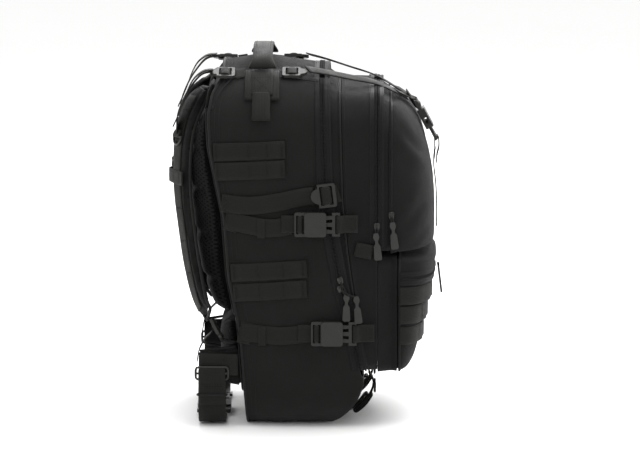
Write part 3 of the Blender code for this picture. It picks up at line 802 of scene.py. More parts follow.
def linings():
    """What shows inside: the flaps behind the zips and the sleeve on the back wall."""
    for name, depths, args, low, body in (("main_zip_guard", (0.93, 0.97, 1.0, 1.2), FRONT_ARGS, 84, "root"),
                                          ("second_zip_guard", (2.7, 2.85, 3.0, 3.15), FRONT_ARGS, 250,
                                           "front_section")):
        grid = np.array([inset(open_rim(section(d, *args), low), 4.0 + 1.5 * k)
                         for k, d in enumerate(depths)])
        sewn(name, [(grid, False)], LINING, body, thickness=LINING_THICKNESS)
    sections = (section(d, *LOWER_ARGS, shift=s) for d, s in ((4.6, 0), (4.85, 0), (5, 1), (5, 5)))
    grid = np.array([inset(rows[:, [0, -1]].transpose(1, 0, 2).reshape(-1, 3), 5.0) for rows in sections])
    half = grid.shape[1] // 2
    for side, part in (("left", grid[:, :half]), ("right", grid[:, half:])):
        sewn(f"lower_zip_guard_{side}", [(part, False)], LINING, "front_section",
             thickness=LINING_THICKNESS)
    xs, zs = np.linspace(-96, 96, 25), np.linspace(60, 330, 34)
    grid = np.array([[(x, along(BACK_SEAM, z) - 9 - 10 * (1 - (x / 96) ** 4), z) for x in xs] for z in zs])
    cloth = crumpled(grid, centre=(0, 400, 200), amount=0.9)
    sleeve = sewn("hydration_sleeve_cloth", [(cloth, False)], LINING, "root", ["hydration_sleeve"],
                  LINING_THICKNESS)
    elastic = tube("hydration_sleeve_elastic", grid[-1] - (0, 0.6, 0), 2.0, BINDING, "root")


def crest_line(side, shift, lift):
    """The seam between the top panel and the side, drooping towards the back."""
    line = []
    for y in (122, 118, 112, 104, 94, 80, 60, 40, 20, 0, -18, -28):
        s = 20 + shift + 62 * max(0.0, (y - 78) / 44) ** 1.8
        x, _, z = over_edge(side, y, s, lift)[0]
        line.append((x, min(y, along(BACK_SEAM, z) - 1), z))
    return line


def seam_work():
    """Piping, zips and stitch rows round the body."""
    for side, word in SIDES:
        tube(f"top_seam_{word}", curve_through(crest_line(side, 0, 0.7), 4), 1.3, BINDING, "root")
        for off in (-5, 5):
            thread("root", crest_line(side, off, STITCH_LIFT))
    piping("back_piping", section(0, *MAIN_ARGS), "root", radius=2.2)
    for depth in (0.05, 0.09):
        rim_row(depth, 4, MAIN_ARGS, "root")
    piping("divider_piping", section(2, *FRONT_ARGS), "front_section", radius=1.5, lift=1.2)
    for depth in (1.9, 2.12):
        rim_row(depth, 84, FRONT_ARGS, "front_section")
    upper = (247, 10, FINE)
    for name, body, depth, args, low, inward, lift, tape in (
            ("main_zip_back", "root", MAIN_EDGE, MAIN_ARGS, 82, 1, 1.8, 9),
            ("main_zip_front", "front_section", LID_EDGE, FRONT_ARGS, 86, -1, 1.8, 9),
            ("second_zip_back", "front_section", SECOND_EDGE, FRONT_ARGS, 244, 1, 1.8, 9),
            ("second_zip_front", "upper_panel", PANEL_EDGE, upper, 252, -1, 1.8, 7),
            ("upper_zip_back", "upper_panel", POCKET_EDGE, upper, 252, 1, 1.6, 7)):
        zip_half(name, body, open_rim(section(depth, *args), low), (0, inward, 0), lift, tape)
    rim_grid = section(4, 243, 14, FINE, 446, 46)
    piping("upper_rim_piping", rim_grid, "upper_cover", radius=1.7, lift=0.4)
    piping("lower_rim_piping", section(5, 77, 12, FINE, 236, 12, 2.5), "lower_face", radius=1.7, lift=0.2)


# ---------------------------------------------------------------- hardware and threaded webbing

def frame_at(at, forward, up):
    """Turns points local to a buckle or lock into the part's axes."""
    x = unit(forward)
    z = np.array(up, float)
    z = unit(z - x * (z @ x))
    turn = np.stack([x, np.cross(z, x), z], 1)
    return lambda points: np.array(at) + np.asarray(points, float) @ turn.T


def normals_of(path, side_hint):
    """Normals of a path that bends in one plane, square to the given sideways direction."""
    return np.cross(unit(np.gradient(np.asarray(path, float), axis=0)), np.array(side_hint, float))


LOOP_WIDTH = 24


def local_webbing(name, place, profile, body):
    """Webbing that follows (x, z) points in a buckle's own axes, as through its slots."""
    path = place(curve_through([(x, 0, z) for x, z in profile], 5))
    sideways = place([(0, 1, 0)])[0] - place([(0, 0, 0)])[0]
    return webbing(name, path, LOOP_WIDTH, normals_of(path, sideways), body, thick=1.5)


# Webbing through a lock or buckle as (x, z) in its own axes: x runs along it and z out of the pack.
LOCK_THREAD = [(-15, -2.2), (-10.5, -2.9), (-8, -1.6), (-6.6, 1.2), (-4, 2.9), (2, 2.9), (4.8, 1.2),
               (6.0, -1.6), (8.5, -2.9), (13, -2.2)]
SOCKET_THREAD = [(-62, -4.6), (-52, -3.6), (-44, -2.9), (-41, -1.6), (-39.6, 1.0), (-37.6, 2.9), (-34.8, 2.9),
                 (-32.8, 1.0), (-32.4, -1.6), (-34, -3.4), (-42, -5.0), (-58, -6.0)]
PLUG_TURN = [(18.5, -2.8), (15.2, -1.6), (14.4, 1.2), (16, 2.9), (19.5, 2.9)]
PLUG_THREAD = [(44, -6.6), (34, -6.4), (24, -5.0), *PLUG_TURN, (22, 0.6), (25, -2.8), (34, -4.7), (43, -5.0)]


def recolour(obj, mat):
    obj.data.materials.clear()
    obj.data.materials.append(mat)


def hardware():
    """CAD buckles, locks and pulls keep their shape, with rounded edges and moulded plastic."""
    for name, obj in NODES.items():
        is_pull = name.endswith(("_pull", "_pull_a", "_pull_b"))
        if not (is_pull or any(word in name for word in ("lock", "socket", "plug"))):
            continue
        recolour(obj, PULL if is_pull else HARD)
        weld = obj.modifiers.new("weld", "WELD")
        weld.merge_threshold = 0.00002
        soft = obj.modifiers.new("edges", "BEVEL")
        soft.width = 0.0007
        soft.segments = 2
        soft.limit_method = "ANGLE"
        soft.angle_limit = math.radians(35)
        soft.harden_normals = False
        even = obj.modifiers.new("normals", "WEIGHTED_NORMAL")
        even.keep_sharp = True
    recolour(NODES["frame_sheet"], SHEET)


# ---------------------------------------------------------------- side details

UPPER_STRAP = [(101, 293), (75, 287), (40, 282), (12, 286)]
LOWER_STRAP = [(82, 135), (58, 133), (25, 131), (-12, 134)]
SIDE_FIELDS = (("upper", (((119, 386), (20, 391)), ((117, 359), (20, 364))), (0.03, 0.5, 0.76, 0.97),
                ((121, 402), (17, 406), (17, 347), (119, 343))),
               ("lower", (((95, 218), (-10, 225)), ((92, 190), (-10, 197))), (0.03, 0.36, 0.7, 0.97),
                ((97, 234), (-14, 241), (-14, 181), (93, 174))))
STRAP_LIFT = 3.3
BUCKLE_LIFT = 9.5
SOCKET_LENGTH = 44
Y_AXIS, Z_AXIS = (0, 1, 0), (0, 0, 1)


def side_line(side, points, lift):
    """A smooth line over the side of the pack through (y, z) points."""
    line = curve_through([(y, z, 0) for y, z in points])
    return np.array([on_side(side, y, z, lift) for y, z in line[:, :2]])


def side_webbing(name, side, points, lift, width, body, stands_for=(), thick=1.5):
    """Webbing flat on the side, and its middle line."""
    line = side_line(side, points, lift)
    webbing(name, line, width, (side, 0, 0), body, stands_for, thick)
    return line


def webbing_row(name, side, points, tacks):
    """Webbing sewn flat on the side, with bar tacks at shares of its length."""
    width, thick = 25, 1.5
    line = side_webbing(name, side, points, 2.1, width, "root")
    spots, runs = spaced(line, 1.0)
    for share in tacks:
        k = int(share * (len(spots) - 1))
        off = spots[k] + np.array((side, 0, 0)) * (thick / 2 + 0.35)
        bar_tack("root", off, runs[k], np.cross((side, 0, 0), runs[k]), width / 2 - 2)


def compression(side, word, level, path, mouth_y, z, fold_gap):
    """One compression strap: its sewn root, the webbing through the socket, and the plug's short anchor."""
    strap_body = f"{level}_strap_{word}"
    first_y, first_z = path[0]
    socket_y = mouth_y + (49 if level == "upper" else 50)
    side_webbing(f"{level}_strap_webbing_{word}", side, [*path[:-1], (socket_y, path[-1][1])], STRAP_LIFT, 25,
                 strap_body, [strap_body], 1.6)
    back_x, mouth_x = (side_x(y, z, BUCKLE_LIFT) for y in (mouth_y + SOCKET_LENGTH, mouth_y))
    forward = (side * (mouth_x - back_x) / SOCKET_LENGTH, -1, 0)
    place = frame_at((side * mouth_x, mouth_y, z), forward, (side, 0, 0))
    local_webbing(f"{level}_strap_loop_{word}", place, SOCKET_THREAD, strap_body)
    local_webbing(f"{level}_plug_webbing_{word}", place, PLUG_THREAD, "front_section")
    box_stitch("front_section", place([(38, 0, -3.6)])[0], Y_AXIS, Z_AXIS, 4, 9, cross=False)
    root_line = side_webbing(f"{level}_strap_root_{word}", side,
                             [(first_y + 2, first_z + 0.5), (first_y - 16, first_z - 3.5)], 2.2, 30, "root",
                             thick=1.4)
    box_stitch("root", root_line[len(root_line) // 2] + np.array((side * 1.1, 0, 0)), Y_AXIS, Z_AXIS, 7, 12)
    end = path[1][0] - fold_gap
    height = along(path[::-1], end) - 2
    fold = [(end + 5, height), (end - 5, height)]
    side_webbing(f"{level}_strap_fold_{word}", side, fold, 4.9, 27, strap_body)


def side_details(side, word):
    """Webbing rows, compression straps, the adjusting strap and the pocket tab of one side."""
    for level, rows, tacks, corners in SIDE_FIELDS:
        for k, ends in enumerate(rows):
            webbing_row(f"side_row_{level}_{k}_{word}", side, ends, tacks)
    for level, rows, tacks, corners in SIDE_FIELDS:
        thread("root", [on_side(side, y, z, STITCH_LIFT) for y, z in corners], closed=True)
    compression(side, word, "upper", UPPER_STRAP, -37, 288, 22)
    compression(side, word, "lower", LOWER_STRAP, -60, 135, 6)
    side_webbing(f"side_adjust_webbing_{word}", side,
                 [(108, 316), (70, 313), (30, 318), (-4, 325), (-20, 327)], 3.0, 25, "root")
    box_stitch("root", on_side(side, 99, 315, 4.2), Y_AXIS, Z_AXIS, 8, 10)
    place = frame_at((side * side_x(-40, 328, 7.5), -38, 328), (0, -1, 0.12), (side, 0, 0))
    local_webbing(f"side_adjust_loop_{word}", place, LOCK_THREAD, f"side_adjust_lock_{word}")
    seam_y = station_y(1.3, 330)
    side_webbing(f"side_adjust_anchor_{word}", side, [(-49, 329), (seam_y - 12, 331)], 3.4, 25,
                 "front_section")
    box_stitch("front_section", on_side(side, seam_y - 6, 330.5, 4.6), Y_AXIS, Z_AXIS, 5, 9, cross=False)
    corner = station_y(2.5, 250)
    side_webbing(f"pocket_tab_{word}", side, [(corner + 9, 252), (corner - 14, 247)], 3.6, 20,
                 "front_section", thick=2.2)
    thread("front_section", [on_side(side, corner + 4, z, 5.1) for z in (258, 243)], pitch=2.2)


# ---------------------------------------------------------------- top: handle, locks and V straps

HANDLE_Y = 52
HANDLE_HALF = 98
HANDLE_TOP = 518
LOCK_X = 94
LOCK_LIFT = 6.5


def top_details():
    """The carry handle with its patches and loose ends, and the locks and straps along the top edge."""
    foot = top_z(HANDLE_HALF, HANDLE_Y, 9)
    turns = np.linspace(-math.pi / 2, math.pi / 2, 61)
    path = [(HANDLE_HALF * math.sin(t), HANDLE_Y, foot + (HANDLE_TOP - foot) * math.cos(t) ** 0.8)
            for t in turns]
    width = 1 + 0.35 * np.clip((np.abs(turns) - 1.0) / 0.5, 0, 1) ** 1.5
    webbing("carry_handle_webbing", path, 28, Z_AXIS, "carry_handle", ["carry_handle"], 3.2, width)
    for shift in (-10, 10):
        thread("carry_handle", [(x, y + shift, z + 2.2) for x, y, z in path[8:-8]])
    for side, word in SIDES:
        patch, ups = zip(*[over_edge(side, HANDLE_Y, s, 2.6) for s in np.linspace(2, 72, 18)])
        webbing(f"handle_patch_{word}", patch, 48, ups, "root", thick=1.8)
        upper, upper_ups = zip(*[over_edge(side, HANDLE_Y, s, 4.6) for s in np.linspace(8, 66, 14)])
        webbing(f"handle_end_{word}", upper, 30, upper_ups, "root", thick=1.8)
        for low, high, lift, half in ((34, 62, 5.8, 12), (4, 70, 3.8, 21)):
            rows = [over_edge(side, HANDLE_Y, s, lift)[0] for s in np.linspace(low, high, 9)]
            edges = [[(x, y + shift, z) for x, y, z in rows] for shift in (-half, half)]
            for row in (*edges, [edge[0] for edge in edges], [edge[-1] for edge in edges]):
                thread("root", row)
            if half == 12:
                for turn in (-1, 1):
                    offs = np.linspace(turn * half, -turn * half, 9)
                    thread("root", [(x, y + off, z) for (x, y, z), off in zip(rows, offs)])
        tail = [over_edge(side, HANDLE_Y + 1, s, lift)[0] for s, lift in
                ((62, 4.4), (70, 4.8), (78, 5.6), (86, 7.2), (95, 9.0), (101, 9.8))]
        webbing(f"handle_tail_{word}", curve_through(tail, 4), 25, (side, 0, 0.2), "root", thick=2.6)
        threaded_lock("load_lifter", "load_lifter_lock", word, side, 103, (0, -1, -0.02), (89, 76))
        v_strap(side, word)


def threaded_lock(kind, body, word, side, y, forward, anchor):
    """A top lock's own loop, and the webbing sewn along the top edge that holds it."""
    place = frame_at((side * LOCK_X, y, top_z(LOCK_X, y, LOCK_LIFT)), forward, (side * 0.25, 0, 1))
    local_webbing(f"{kind}_loop_{word}", place, LOCK_THREAD, f"{body}_{word}")
    line = [(side * (LOCK_X + 0.5), y, top_z(LOCK_X, y, 2.4)) for y in np.linspace(*anchor, 10)]
    webbing(f"{kind}_anchor_{word}", line, 25, (side * 0.45, 0, 1), "root", thick=1.5)


def v_strap(side, word):
    """One arm of the V and the lock it runs through."""
    threaded_lock("top_lock", "top_lock", word, side, 12, Y_AXIS, (24, 48))
    line = curve_through(mirrored(side, [(90, -10, 494), (79, -34, 489), (62, -68, 480), (42, -105, 470),
                                         (24, -134, 455), (15.5, -147, 446.5)]), 5)
    webbing(f"v_strap_{word}", line, 22, (side * 0.25, -0.15, 1), "top_straps", [f"top_strap_{word}"])
    for k in (3, 6):
        thread("top_straps", [line[k] + (side * 9, 3, 1.2), line[k] + (-side * 9, -3, 1.2)], pitch=TACK_PITCH)


def face_line(z, lift):
    """A line across the lower pocket's face at one height, standing off it by lift."""
    turns = np.linspace(-math.pi / 2, math.pi / 2, 73)
    spread = np.sin(turns)
    half = by_depth(HALF_WIDTHS, 5) + bulge(z)
    ys = -138.5 + (along(LOWER_CROWN, z) + 136) * np.sqrt(np.maximum(1 - spread**4, 0))
    line = np.stack([half * spread, ys, np.full(73, float(z))], 1)
    out = normals_of(line, (0, 0, 1))
    out *= np.where((out * (line - (0, -80, z))).sum(1, keepdims=True) < 0, -1, 1)
    return line + out * lift


def front_details():
    """The V's join and buckle, the front strap, and the webbing rows and zip of the lower pocket."""
    place = frame_at((0, -182, 402), (0, -0.48, -0.88), (0, -0.88, 0.48))
    local_webbing("front_socket_loop", place, SOCKET_THREAD, "top_straps")
    junction = place([(-50, 0, -1.4)])[0]
    for side, word in SIDES:
        line = curve_through([*mirrored(side, [(24, -134, 456.4), (15, -146, 449.5), (7, -152.5, 445.5)]),
                              tuple(junction + (side * 2.5, 0, 0))], 5)
        webbing(f"v_join_{word}", line, 20, (0, -0.5, 1), "top_straps", thick=1.5)
    turn = place([(x, 0, z) for x, z in (*PLUG_TURN, (23, 1.4))])
    path = [(0, -187.6, 358), (0, -188.6, 369), *map(tuple, turn), (0, -194.2, 374), (0, -191.6, 363),
            (0, -191.2, 352)]
    strip("front_plug_webbing", path, 4, 24, (1, 0, 0), "upper_cover", thick=1.5)
    path = [(0, -189, 373), (0, -187.3, 360), (0, -187.4, 345), (0, -190, 322), (0, -191.4, 290),
            (0, -191.4, 262)]
    webbing("front_strap_webbing", curve_through(path, 5), 25, (0, -1, 0), "upper_cover", ["front_strap"])
    box_stitch("upper_cover", (0, -193.8, 274), (1, 0, 0), Z_AXIS, 9, 9)
    tacks = np.arange(-114, 115, 38)
    for k, z in enumerate((184, 157, 128)):
        row = face_line(z, 2.4)
        gap = np.min(np.abs(row[:, :1] - tacks), axis=1) / 19
        row[:, 1] -= 1.4 * np.clip(gap, 0, 1) * (np.abs(row[:, 0]) < 118)
        webbing(f"pocket_row_{k}", row, 25, normals_of(row, (0, 0, 1)), "lower_face", thick=1.5)
        for x in tacks:
            y = float(np.interp(x, row[:, 0], row[:, 1])) - 1.0
            bar_tack("lower_face", (x, y, z), (1, 0, 0), Z_AXIS, 10.5)
    band = face_line(208, 1.7)
    webbing("lower_zip_tape", band, 19, normals_of(band, (0, 0, 1)), "lower_face", thick=1.0, mat=TAPE)
    for height in (200.5, 215.5):
        thread("lower_face", face_line(height, 2.7))
    teeth, runs = spaced(face_line(208, 2.9), 2.0)
    lay = np.tile((0.0, 0.0, 1.0), (len(teeth), 1))
    TEETH.setdefault("lower_face", []).append((teeth, runs, lay, np.cross(runs, lay)))


# ---------------------------------------------------------------- padded parts

SHOULDER = [(60, 130, 468), (66, 146, 444), (73, 159, 410), (80, 164, 365), (86, 163, 318), (93, 157, 268),
            (103, 150, 224), (116, 139, 180), (129, 125, 152)]
SHOULDER_PITCH = 7.6
D_RING_STATION = 10


PUFF_VOXEL = 0.0045
PUFF_PRESSURE = 4.0
PUFF_FRAMES = 20


def puffed(obj, cap):
    """Swells a padded piece with Blender's Cloth, caps how far each point moves, and keeps the result."""
    remesh = obj.modifiers.new("remesh", "REMESH")
    remesh.mode = "VOXEL"
    remesh.voxel_size = PUFF_VOXEL
    bake(obj)
    rest = np.array([v.co for v in obj.data.vertices])
    cloth = obj.modifiers.new("cloth", "CLOTH")
    cloth.settings.use_pressure = True
    cloth.settings.uniform_pressure_force = PUFF_PRESSURE
    cloth.settings.effector_weights.gravity = 0
    cloth.settings.quality = 4
    cloth.collision_settings.use_collision = False
    cloth.point_cache.frame_start = 1
    cloth.point_cache.frame_end = PUFF_FRAMES
    for step in range(1, PUFF_FRAMES + 1):
        bpy.context.scene.frame_set(step)
    bake(obj)
    bpy.context.scene.frame_set(1)
    moved = np.array([v.co for v in obj.data.vertices]) - rest
    far = np.linalg.norm(moved, axis=1, keepdims=True)
    kept = rest + moved * np.minimum(1, cap / np.maximum(far, 1e-9))
    obj.data.vertices.foreach_set("co", kept.ravel())


def bake(obj):
    """Applies an object's modifiers to its mesh."""
    bpy.context.view_layer.update()
    graph = bpy.context.evaluated_depsgraph_get()
    mesh = bpy.data.meshes.new_from_object(obj.evaluated_get(graph))
    obj.modifiers.clear()
    old = obj.data
    obj.data = mesh
    bpy.data.meshes.remove(old)
    mesh.shade_smooth()


def stuffed(name, outer, inner, mat):
    """A solid between two grids of points in mm, joined round their edges."""
    bm = bmesh.new()
    add_grid(bm, outer)
    add_grid(bm, inner)
    bm.verts.ensure_lookup_table()
    count = outer.shape[0] * outer.shape[1]
    edge = rim(np.arange(count).reshape(outer.shape[:2])).tolist()
    for a, b in zip(edge, edge[1:] + edge[:1]):
        bm.faces.new((bm.verts[a], bm.verts[b], bm.verts[b + count], bm.verts[a + count]))
    bmesh.ops.recalc_face_normals(bm, faces=bm.faces)
    return from_bmesh(name, bm, mat, None)


def slab(name, grid, thickness, mat, pull_in=0.55):
    """A soft slab over a grid of points, thinner at its edges than in its middle."""
    grid = np.asarray(grid, float)
    normals = outward(grid, (0, 0, 260), False)
    rows, columns = grid.shape[:2]
    r = np.abs(np.linspace(-1, 1, rows))[:, None]
    c = np.abs(np.linspace(-1, 1, columns))[None, :]
    swell = normals * (thickness / 2 * (1 - pull_in * np.maximum(r**8, c**8)))[:, :, None]
    return stuffed(name, grid + swell, grid - swell, mat)


def pressed(obj, depth_of):
    """Moves each point of a piece along its normal by depth_of(point in mm), for sewn channels."""
    for vert in obj.data.vertices:
        x, y, z = vert.co / MM
        vert.co += vert.normal * depth_of(x, y + MIDDLE_Y, z) * MM


def settle(obj, body, stands_for):
    smooth = obj.modifiers.new("smooth", "SUBSURF")
    smooth.levels = smooth.render_levels = 1
    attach(obj, body)
    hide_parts(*stands_for)


BACK_PAD = [(150, 24), (170, 30), (200, 35), (230, 38), (265, 41), (300, 41), (340, 37), (380, 28), (410, 17),
            (440, 6)]
LUMBAR_PAD = [(42, 14), (60, 24), (90, 28), (120, 28), (146, 22)]
CHANNEL_X = 36
CHANNELS_Z = (205, 268, 330, 388)


def pillow(name, half_width, profile, rows, columns):
    """A pad on the back panel, as thick as its profile says and rounded off at its edges."""
    low, high = profile[0][0] + 3, profile[-1][0] - 3
    grids = []
    for outer in (1, 0):
        grid = []
        for z in np.linspace(low, high, rows):
            base = along(BACK_SEAM, z) + 3.5
            depth = along(profile, z) - 2.5
            corner = min(z - low, high - z)
            width = half_width - 3 - 16 * max(0, 1 - corner / 16) ** 2
            line = []
            for x in np.linspace(-width, width, columns):
                edge = max(abs(x / width) ** 7, max(0, 1 - corner / 12) ** 2)
                y = base + 1 + (depth - 2) * (1 - 0.62 * edge) if outer else base + 1 + 0.2 * depth * edge
                line.append((x, y, z))
            grid.append(line)
        grids.append(np.array(grid))
    return stuffed(name, *grids, MESH), grids[0]


def back_panel():
    """The back and lumbar pads with their sewn channels and bindings."""
    pad, face = pillow("back_pad_foam", 120, BACK_PAD, 34, 28)
    puffed(pad, cap=0.004)

    def channels(x, y, z):
        if y < along(BACK_SEAM, z) + 3.5 + 0.45 * along(BACK_PAD, z):
            return 0.0
        spine = math.exp(-(((abs(x) - CHANNEL_X) / 6) ** 2))
        across = max(math.exp(-(((z - level + 0.06 * abs(x)) / 5) ** 2)) for level in CHANNELS_Z)
        return -5.5 * max(spine, across * (abs(x) > CHANNEL_X))

    pressed(pad, channels)
    settle(pad, "root", ["back_pad"])
    lumbar, lumbar_face = pillow("lumbar_foam", 114, LUMBAR_PAD, 14, 26)
    puffed(lumbar, cap=0.004)
    pressed(lumbar, lambda x, y, z:
            (y > along(BACK_SEAM, z) + 14) * -4.0 * math.exp(-(((abs(x) - 40) / 6) ** 2)))
    settle(lumbar, "root", ["lumbar_pad"])
    for name, grid in (("back_pad", face), ("lumbar", lumbar_face)):
        edge = rim(grid)
        edge[:, 1] = [along(BACK_SEAM, z) + 4.0 for z in edge[:, 2]]
        edge += away_from_middle(edge) * 3.0
        tube(name + "_binding", spaced(edge, 8, True)[0], 2.4, BINDING, "root", closed=True)


def shoulder_section(side, centre, run):
    """Across and outward directions of a shoulder pad at a point. Its outer edge leans towards the pack."""
    across = unit((1.0, 0, 0) - run * run[0])
    out = np.cross(run, across)
    out = out if out[1] > 0 else -out
    lean = math.radians(24) * min(1, max(0.35, (474 - centre[2]) / 26), 0.8 + max(0, centre[2] - 150) / 300)
    return (across * math.cos(lean) - out * side * math.sin(lean),
            out * math.cos(lean) + across * side * math.sin(lean))


def shoulder_grid(side, lift=0.0):
    """Points over a shoulder pad, from its top to its lower end, standing off its middle surface by lift."""
    path, runs = spaced(curve_through(mirrored(side, SHOULDER), 8), SHOULDER_PITCH)
    grid = []
    for k, (centre, run) in enumerate(zip(path, runs)):
        across, out = shoulder_section(side, centre, run)
        share = k / (len(path) - 1)
        half = 29 - 5 * share**3 - 4 * (1 - min(share * 8, 1))
        grid.append([centre + across * half * f + out * lift for f in np.linspace(-1, 1, 9)])
    return np.array(grid)


def shoulder_straps():
    """The shoulder pads, of which the right mirrors the left, and their sewn upper ends on the back."""
    left = slab("shoulder_pad_left", shoulder_grid(-1), 9.5, LINING)
    left.data.materials.append(MESH)
    puffed(left, cap=0.0035)
    grid = shoulder_grid(-1)
    line = grid[:, grid.shape[1] // 2]

    def quilting(x, y, z):
        near = np.abs(line[:, 2] - z).argmin()
        across = abs(x - line[near, 0])
        return -1.6 * math.exp(-(((across - 15) / 3.5) ** 2))

    pressed(left, quilting)
    for face in left.data.polygons:
        face.material_index = 1 if face.normal.y < -0.35 else 0
    right = left.copy()
    right.data = left.data.copy()
    right.name = "shoulder_pad_right"
    add_to_scene(right)
    for vert in right.data.vertices:
        vert.co.x = -vert.co.x
    right.data.flip_normals()
    for side, word in SIDES:
        root_grid = [[(side * x, along(BACK_SEAM, z) + 4.6 + 2.5 * max(0, (z - 462) / 16), z)
                      for x in np.linspace(34, 98, 9)] for z in np.linspace(442, 474, 8)]
        root_pad = slab(f"strap_root_{word}", root_grid, 7, CLOTH, pull_in=0.4)
        root_pad.modifiers.new("smooth", "SUBSURF").levels = 1
        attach(root_pad, "root")
    for side, word, pad in ((-1, "left", left), (1, "right", right)):
        settle(pad, f"shoulder_{word}", [f"shoulder_strap_{word}"])
        strap_dressing(side, word)


def strap_dressing(side, word):
    """Edge binding, the webbing down the middle, its bar tacks and the D-ring of a shoulder strap."""
    body = f"shoulder_{word}"
    edge = rim(shoulder_grid(side).transpose(1, 0, 2))
    tube(f"shoulder_binding_{word}", spaced(edge, 7, True)[0], 2.3, BINDING, body, closed=True)
    face = shoulder_grid(side, lift=7.9)
    path, runs = spaced(face[:, face.shape[1] // 2], SHOULDER_PITCH)
    normals = [shoulder_section(side, c, r)[1] for c, r in zip(path, runs)]
    webbing(f"shoulder_webbing_{word}", path[2:-1], 25, normals[2:-1], body, thick=1.5)

    def station(k):
        run = unit(path[k + 1] - path[k - 1])
        return (path[k], run, *shoulder_section(side, path[k], run))

    for k in range(5, len(path) - 3, 6):
        centre, run, across, out = station(k)
        bar_tack(body, centre + out * 1.2, run, across, 10.5)
    centre, run, across, out = station(D_RING_STATION)
    base = centre + out * 2.6
    bow = [base + across * 13 * math.cos(t) + run * 11.5 * math.sin(t) for t in np.linspace(0, math.pi, 13)]
    ring = np.array([*bow, *(base + across * x for x in (-8, 0, 8))])
    tube(f"d_ring_{word}", ring, 1.5, STEEL, body, closed=True)
    keeper = [centre + out * h + run * r for r, h in
              ((-9, 1.4), (-5, 2.2), (-1.5, 4.6), (0.5, 5.0), (-2, 5.4), (-6, 4.4), (-9, 2.8))]
    webbing(f"d_ring_tab_{word}", curve_through(keeper, 3), 22, out, body, thick=1.2)
    lifter = [(74, 172, 404), (77, 170.5, 430), (81, 159, 458), (86, 144.5, 479), (90, 134, 488.5),
              (92.5, 123, 491.5)]
    obj = strip(f"load_lifter_webbing_{word}", mirrored(side, lifter), 5, 22, (-1, 0, 0), None,
                [f"load_lifter_strap_{word}"])
    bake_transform(obj)
    tail = [(92, 121, 494), (94, 134, 492), (99, 147, 482), (106, 156, 466), (113, 163, 447), (117, 170, 430),
            (119, 176, 417)]
    strip(f"load_lifter_tail_{word}", mirrored(side, tail), 4, 18, (-1, 0, 0), f"load_lifter_lock_{word}",
          thick=1.4)


def sternum():
    """Both halves of the sternum strap."""
    for side, word in SIDES:
        inner = [(49, 181.6), (41, 175)] if side < 0 else [(47, 181.8), (34, 177.5), (14, 174.7)]
        line = curve_through([(side * x, y, 342) for x, y in
                              ((108, 163.4), (84, 173.4), (66, 180), (55, 183), *inner)], 6)
        webbing(f"sternum_webbing_{word}", line, 20, (0, 1, 0), f"sternum_{word}", [f"sternum_strap_{word}"])
        for x, y in ((76, 177.8), (98, 169)):
            thread(f"sternum_{word}", [(side * x, y, z) for z in (334, 350)], pitch=TACK_PITCH)


def hip_wings():
    """The padded wings at the lower side seams, which narrow from their root to their tip."""
    root_high, root_low = 112, 60
    tip_y, tip_high, tip_low = 142, 104, 70
    for side, word in SIDES:
        grid = []
        for share in np.linspace(0, 1, 14):
            z = root_high + (root_low - root_high) * share
            end_z = tip_high + (tip_low - tip_high) * share
            start_y = along(BACK_SEAM, z) + 4.5
            grid.append([(side * (143 - 6 * t), start_y + (tip_y - start_y) * t, z + (end_z - z) * t)
                         for t in np.linspace(0, 1, 16)])
        wing = slab(f"hip_wing_pad_{word}", grid, 9, LINING)
        puffed(wing, cap=0.004)
        settle(wing, "root", [f"hip_wing_{word}"])
        grid = np.array(grid)
        for place, row, shift in (("top", grid[0], 0.5), ("low", grid[-1], -0.5)):
            tube(f"wing_binding_{place}_{word}", spaced(row + (0, 0, shift), 6)[0], 2.0, BINDING, "root")
        line = grid[6] + (side * 9.0, 0, 0)
        webbing(f"wing_webbing_{word}", spaced(line, 5)[0], 30, (side, 0, 0), "root", thick=1.5)
        box_stitch("root", line[4] + (side * 1.2, 0, 0), Y_AXIS, Z_AXIS, 8, 11)
        ladder_adjuster(side, word)


def ladder_adjuster(side, word):
    """The shoulder strap's lower anchor on the wing, its webbing through the ladder lock and its end."""
    place = frame_at((side * 133, 116.5, 137), (side * -0.3, 0.46, 0.84), (0, 0.88, -0.46))
    local_webbing(f"strap_lock_loop_{word}", place, LOCK_THREAD, f"shoulder_{word}")
    seam, lock = (139, 104, 121), (135, 112, 129)
    strip(f"harness_webbing_piece_{word}", mirrored(side, [seam, (142, 97, 119), (145, 90, 118)]), 5, 22,
          (1, 0, 0), "root", [f"harness_webbing_{word}"])
    link = mirrored(side, [seam, (136.5, 109, 124), lock])
    obj = strip(f"harness_link_{word}", link, 4, 22, (1, 0, 0), None)
    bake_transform(obj)
    tail = [(131, 122, 131), (129, 132, 121), (128, 140, 106), (127.5, 143, 90)]
    strip(f"strap_tail_{word}", mirrored(side, tail), 5, 22, (1, 0, 0), f"shoulder_{word}", thick=1.4)


def triglide(name, place, width, length, body):
    """A webbing slider: a rounded frame with a bar across its middle. X runs along the webbing."""
    corner = 3.0
    a, b = length / 2, width / 2 + 2
    turns = np.linspace(0, math.pi / 2, 5)
    ring = []
    for quarter, (u, v) in enumerate(((1, 1), (-1, 1), (-1, -1), (1, -1))):
        ring += [(u * (a - corner) + corner * math.cos(t + quarter * math.pi / 2),
                  v * (b - corner) + corner * math.sin(t + quarter * math.pi / 2), 0) for t in turns]
    tube(name, place(spaced(np.array(ring), 3.5, True)[0]), 1.7, HARD, body, closed=True, sides=10)
    bar = place(np.array([(0, y, 0.6) for y in np.linspace(-b + 1, b - 1, 7)]))
    tube(name + "_bar", bar, 1.6, HARD, body, sides=10)


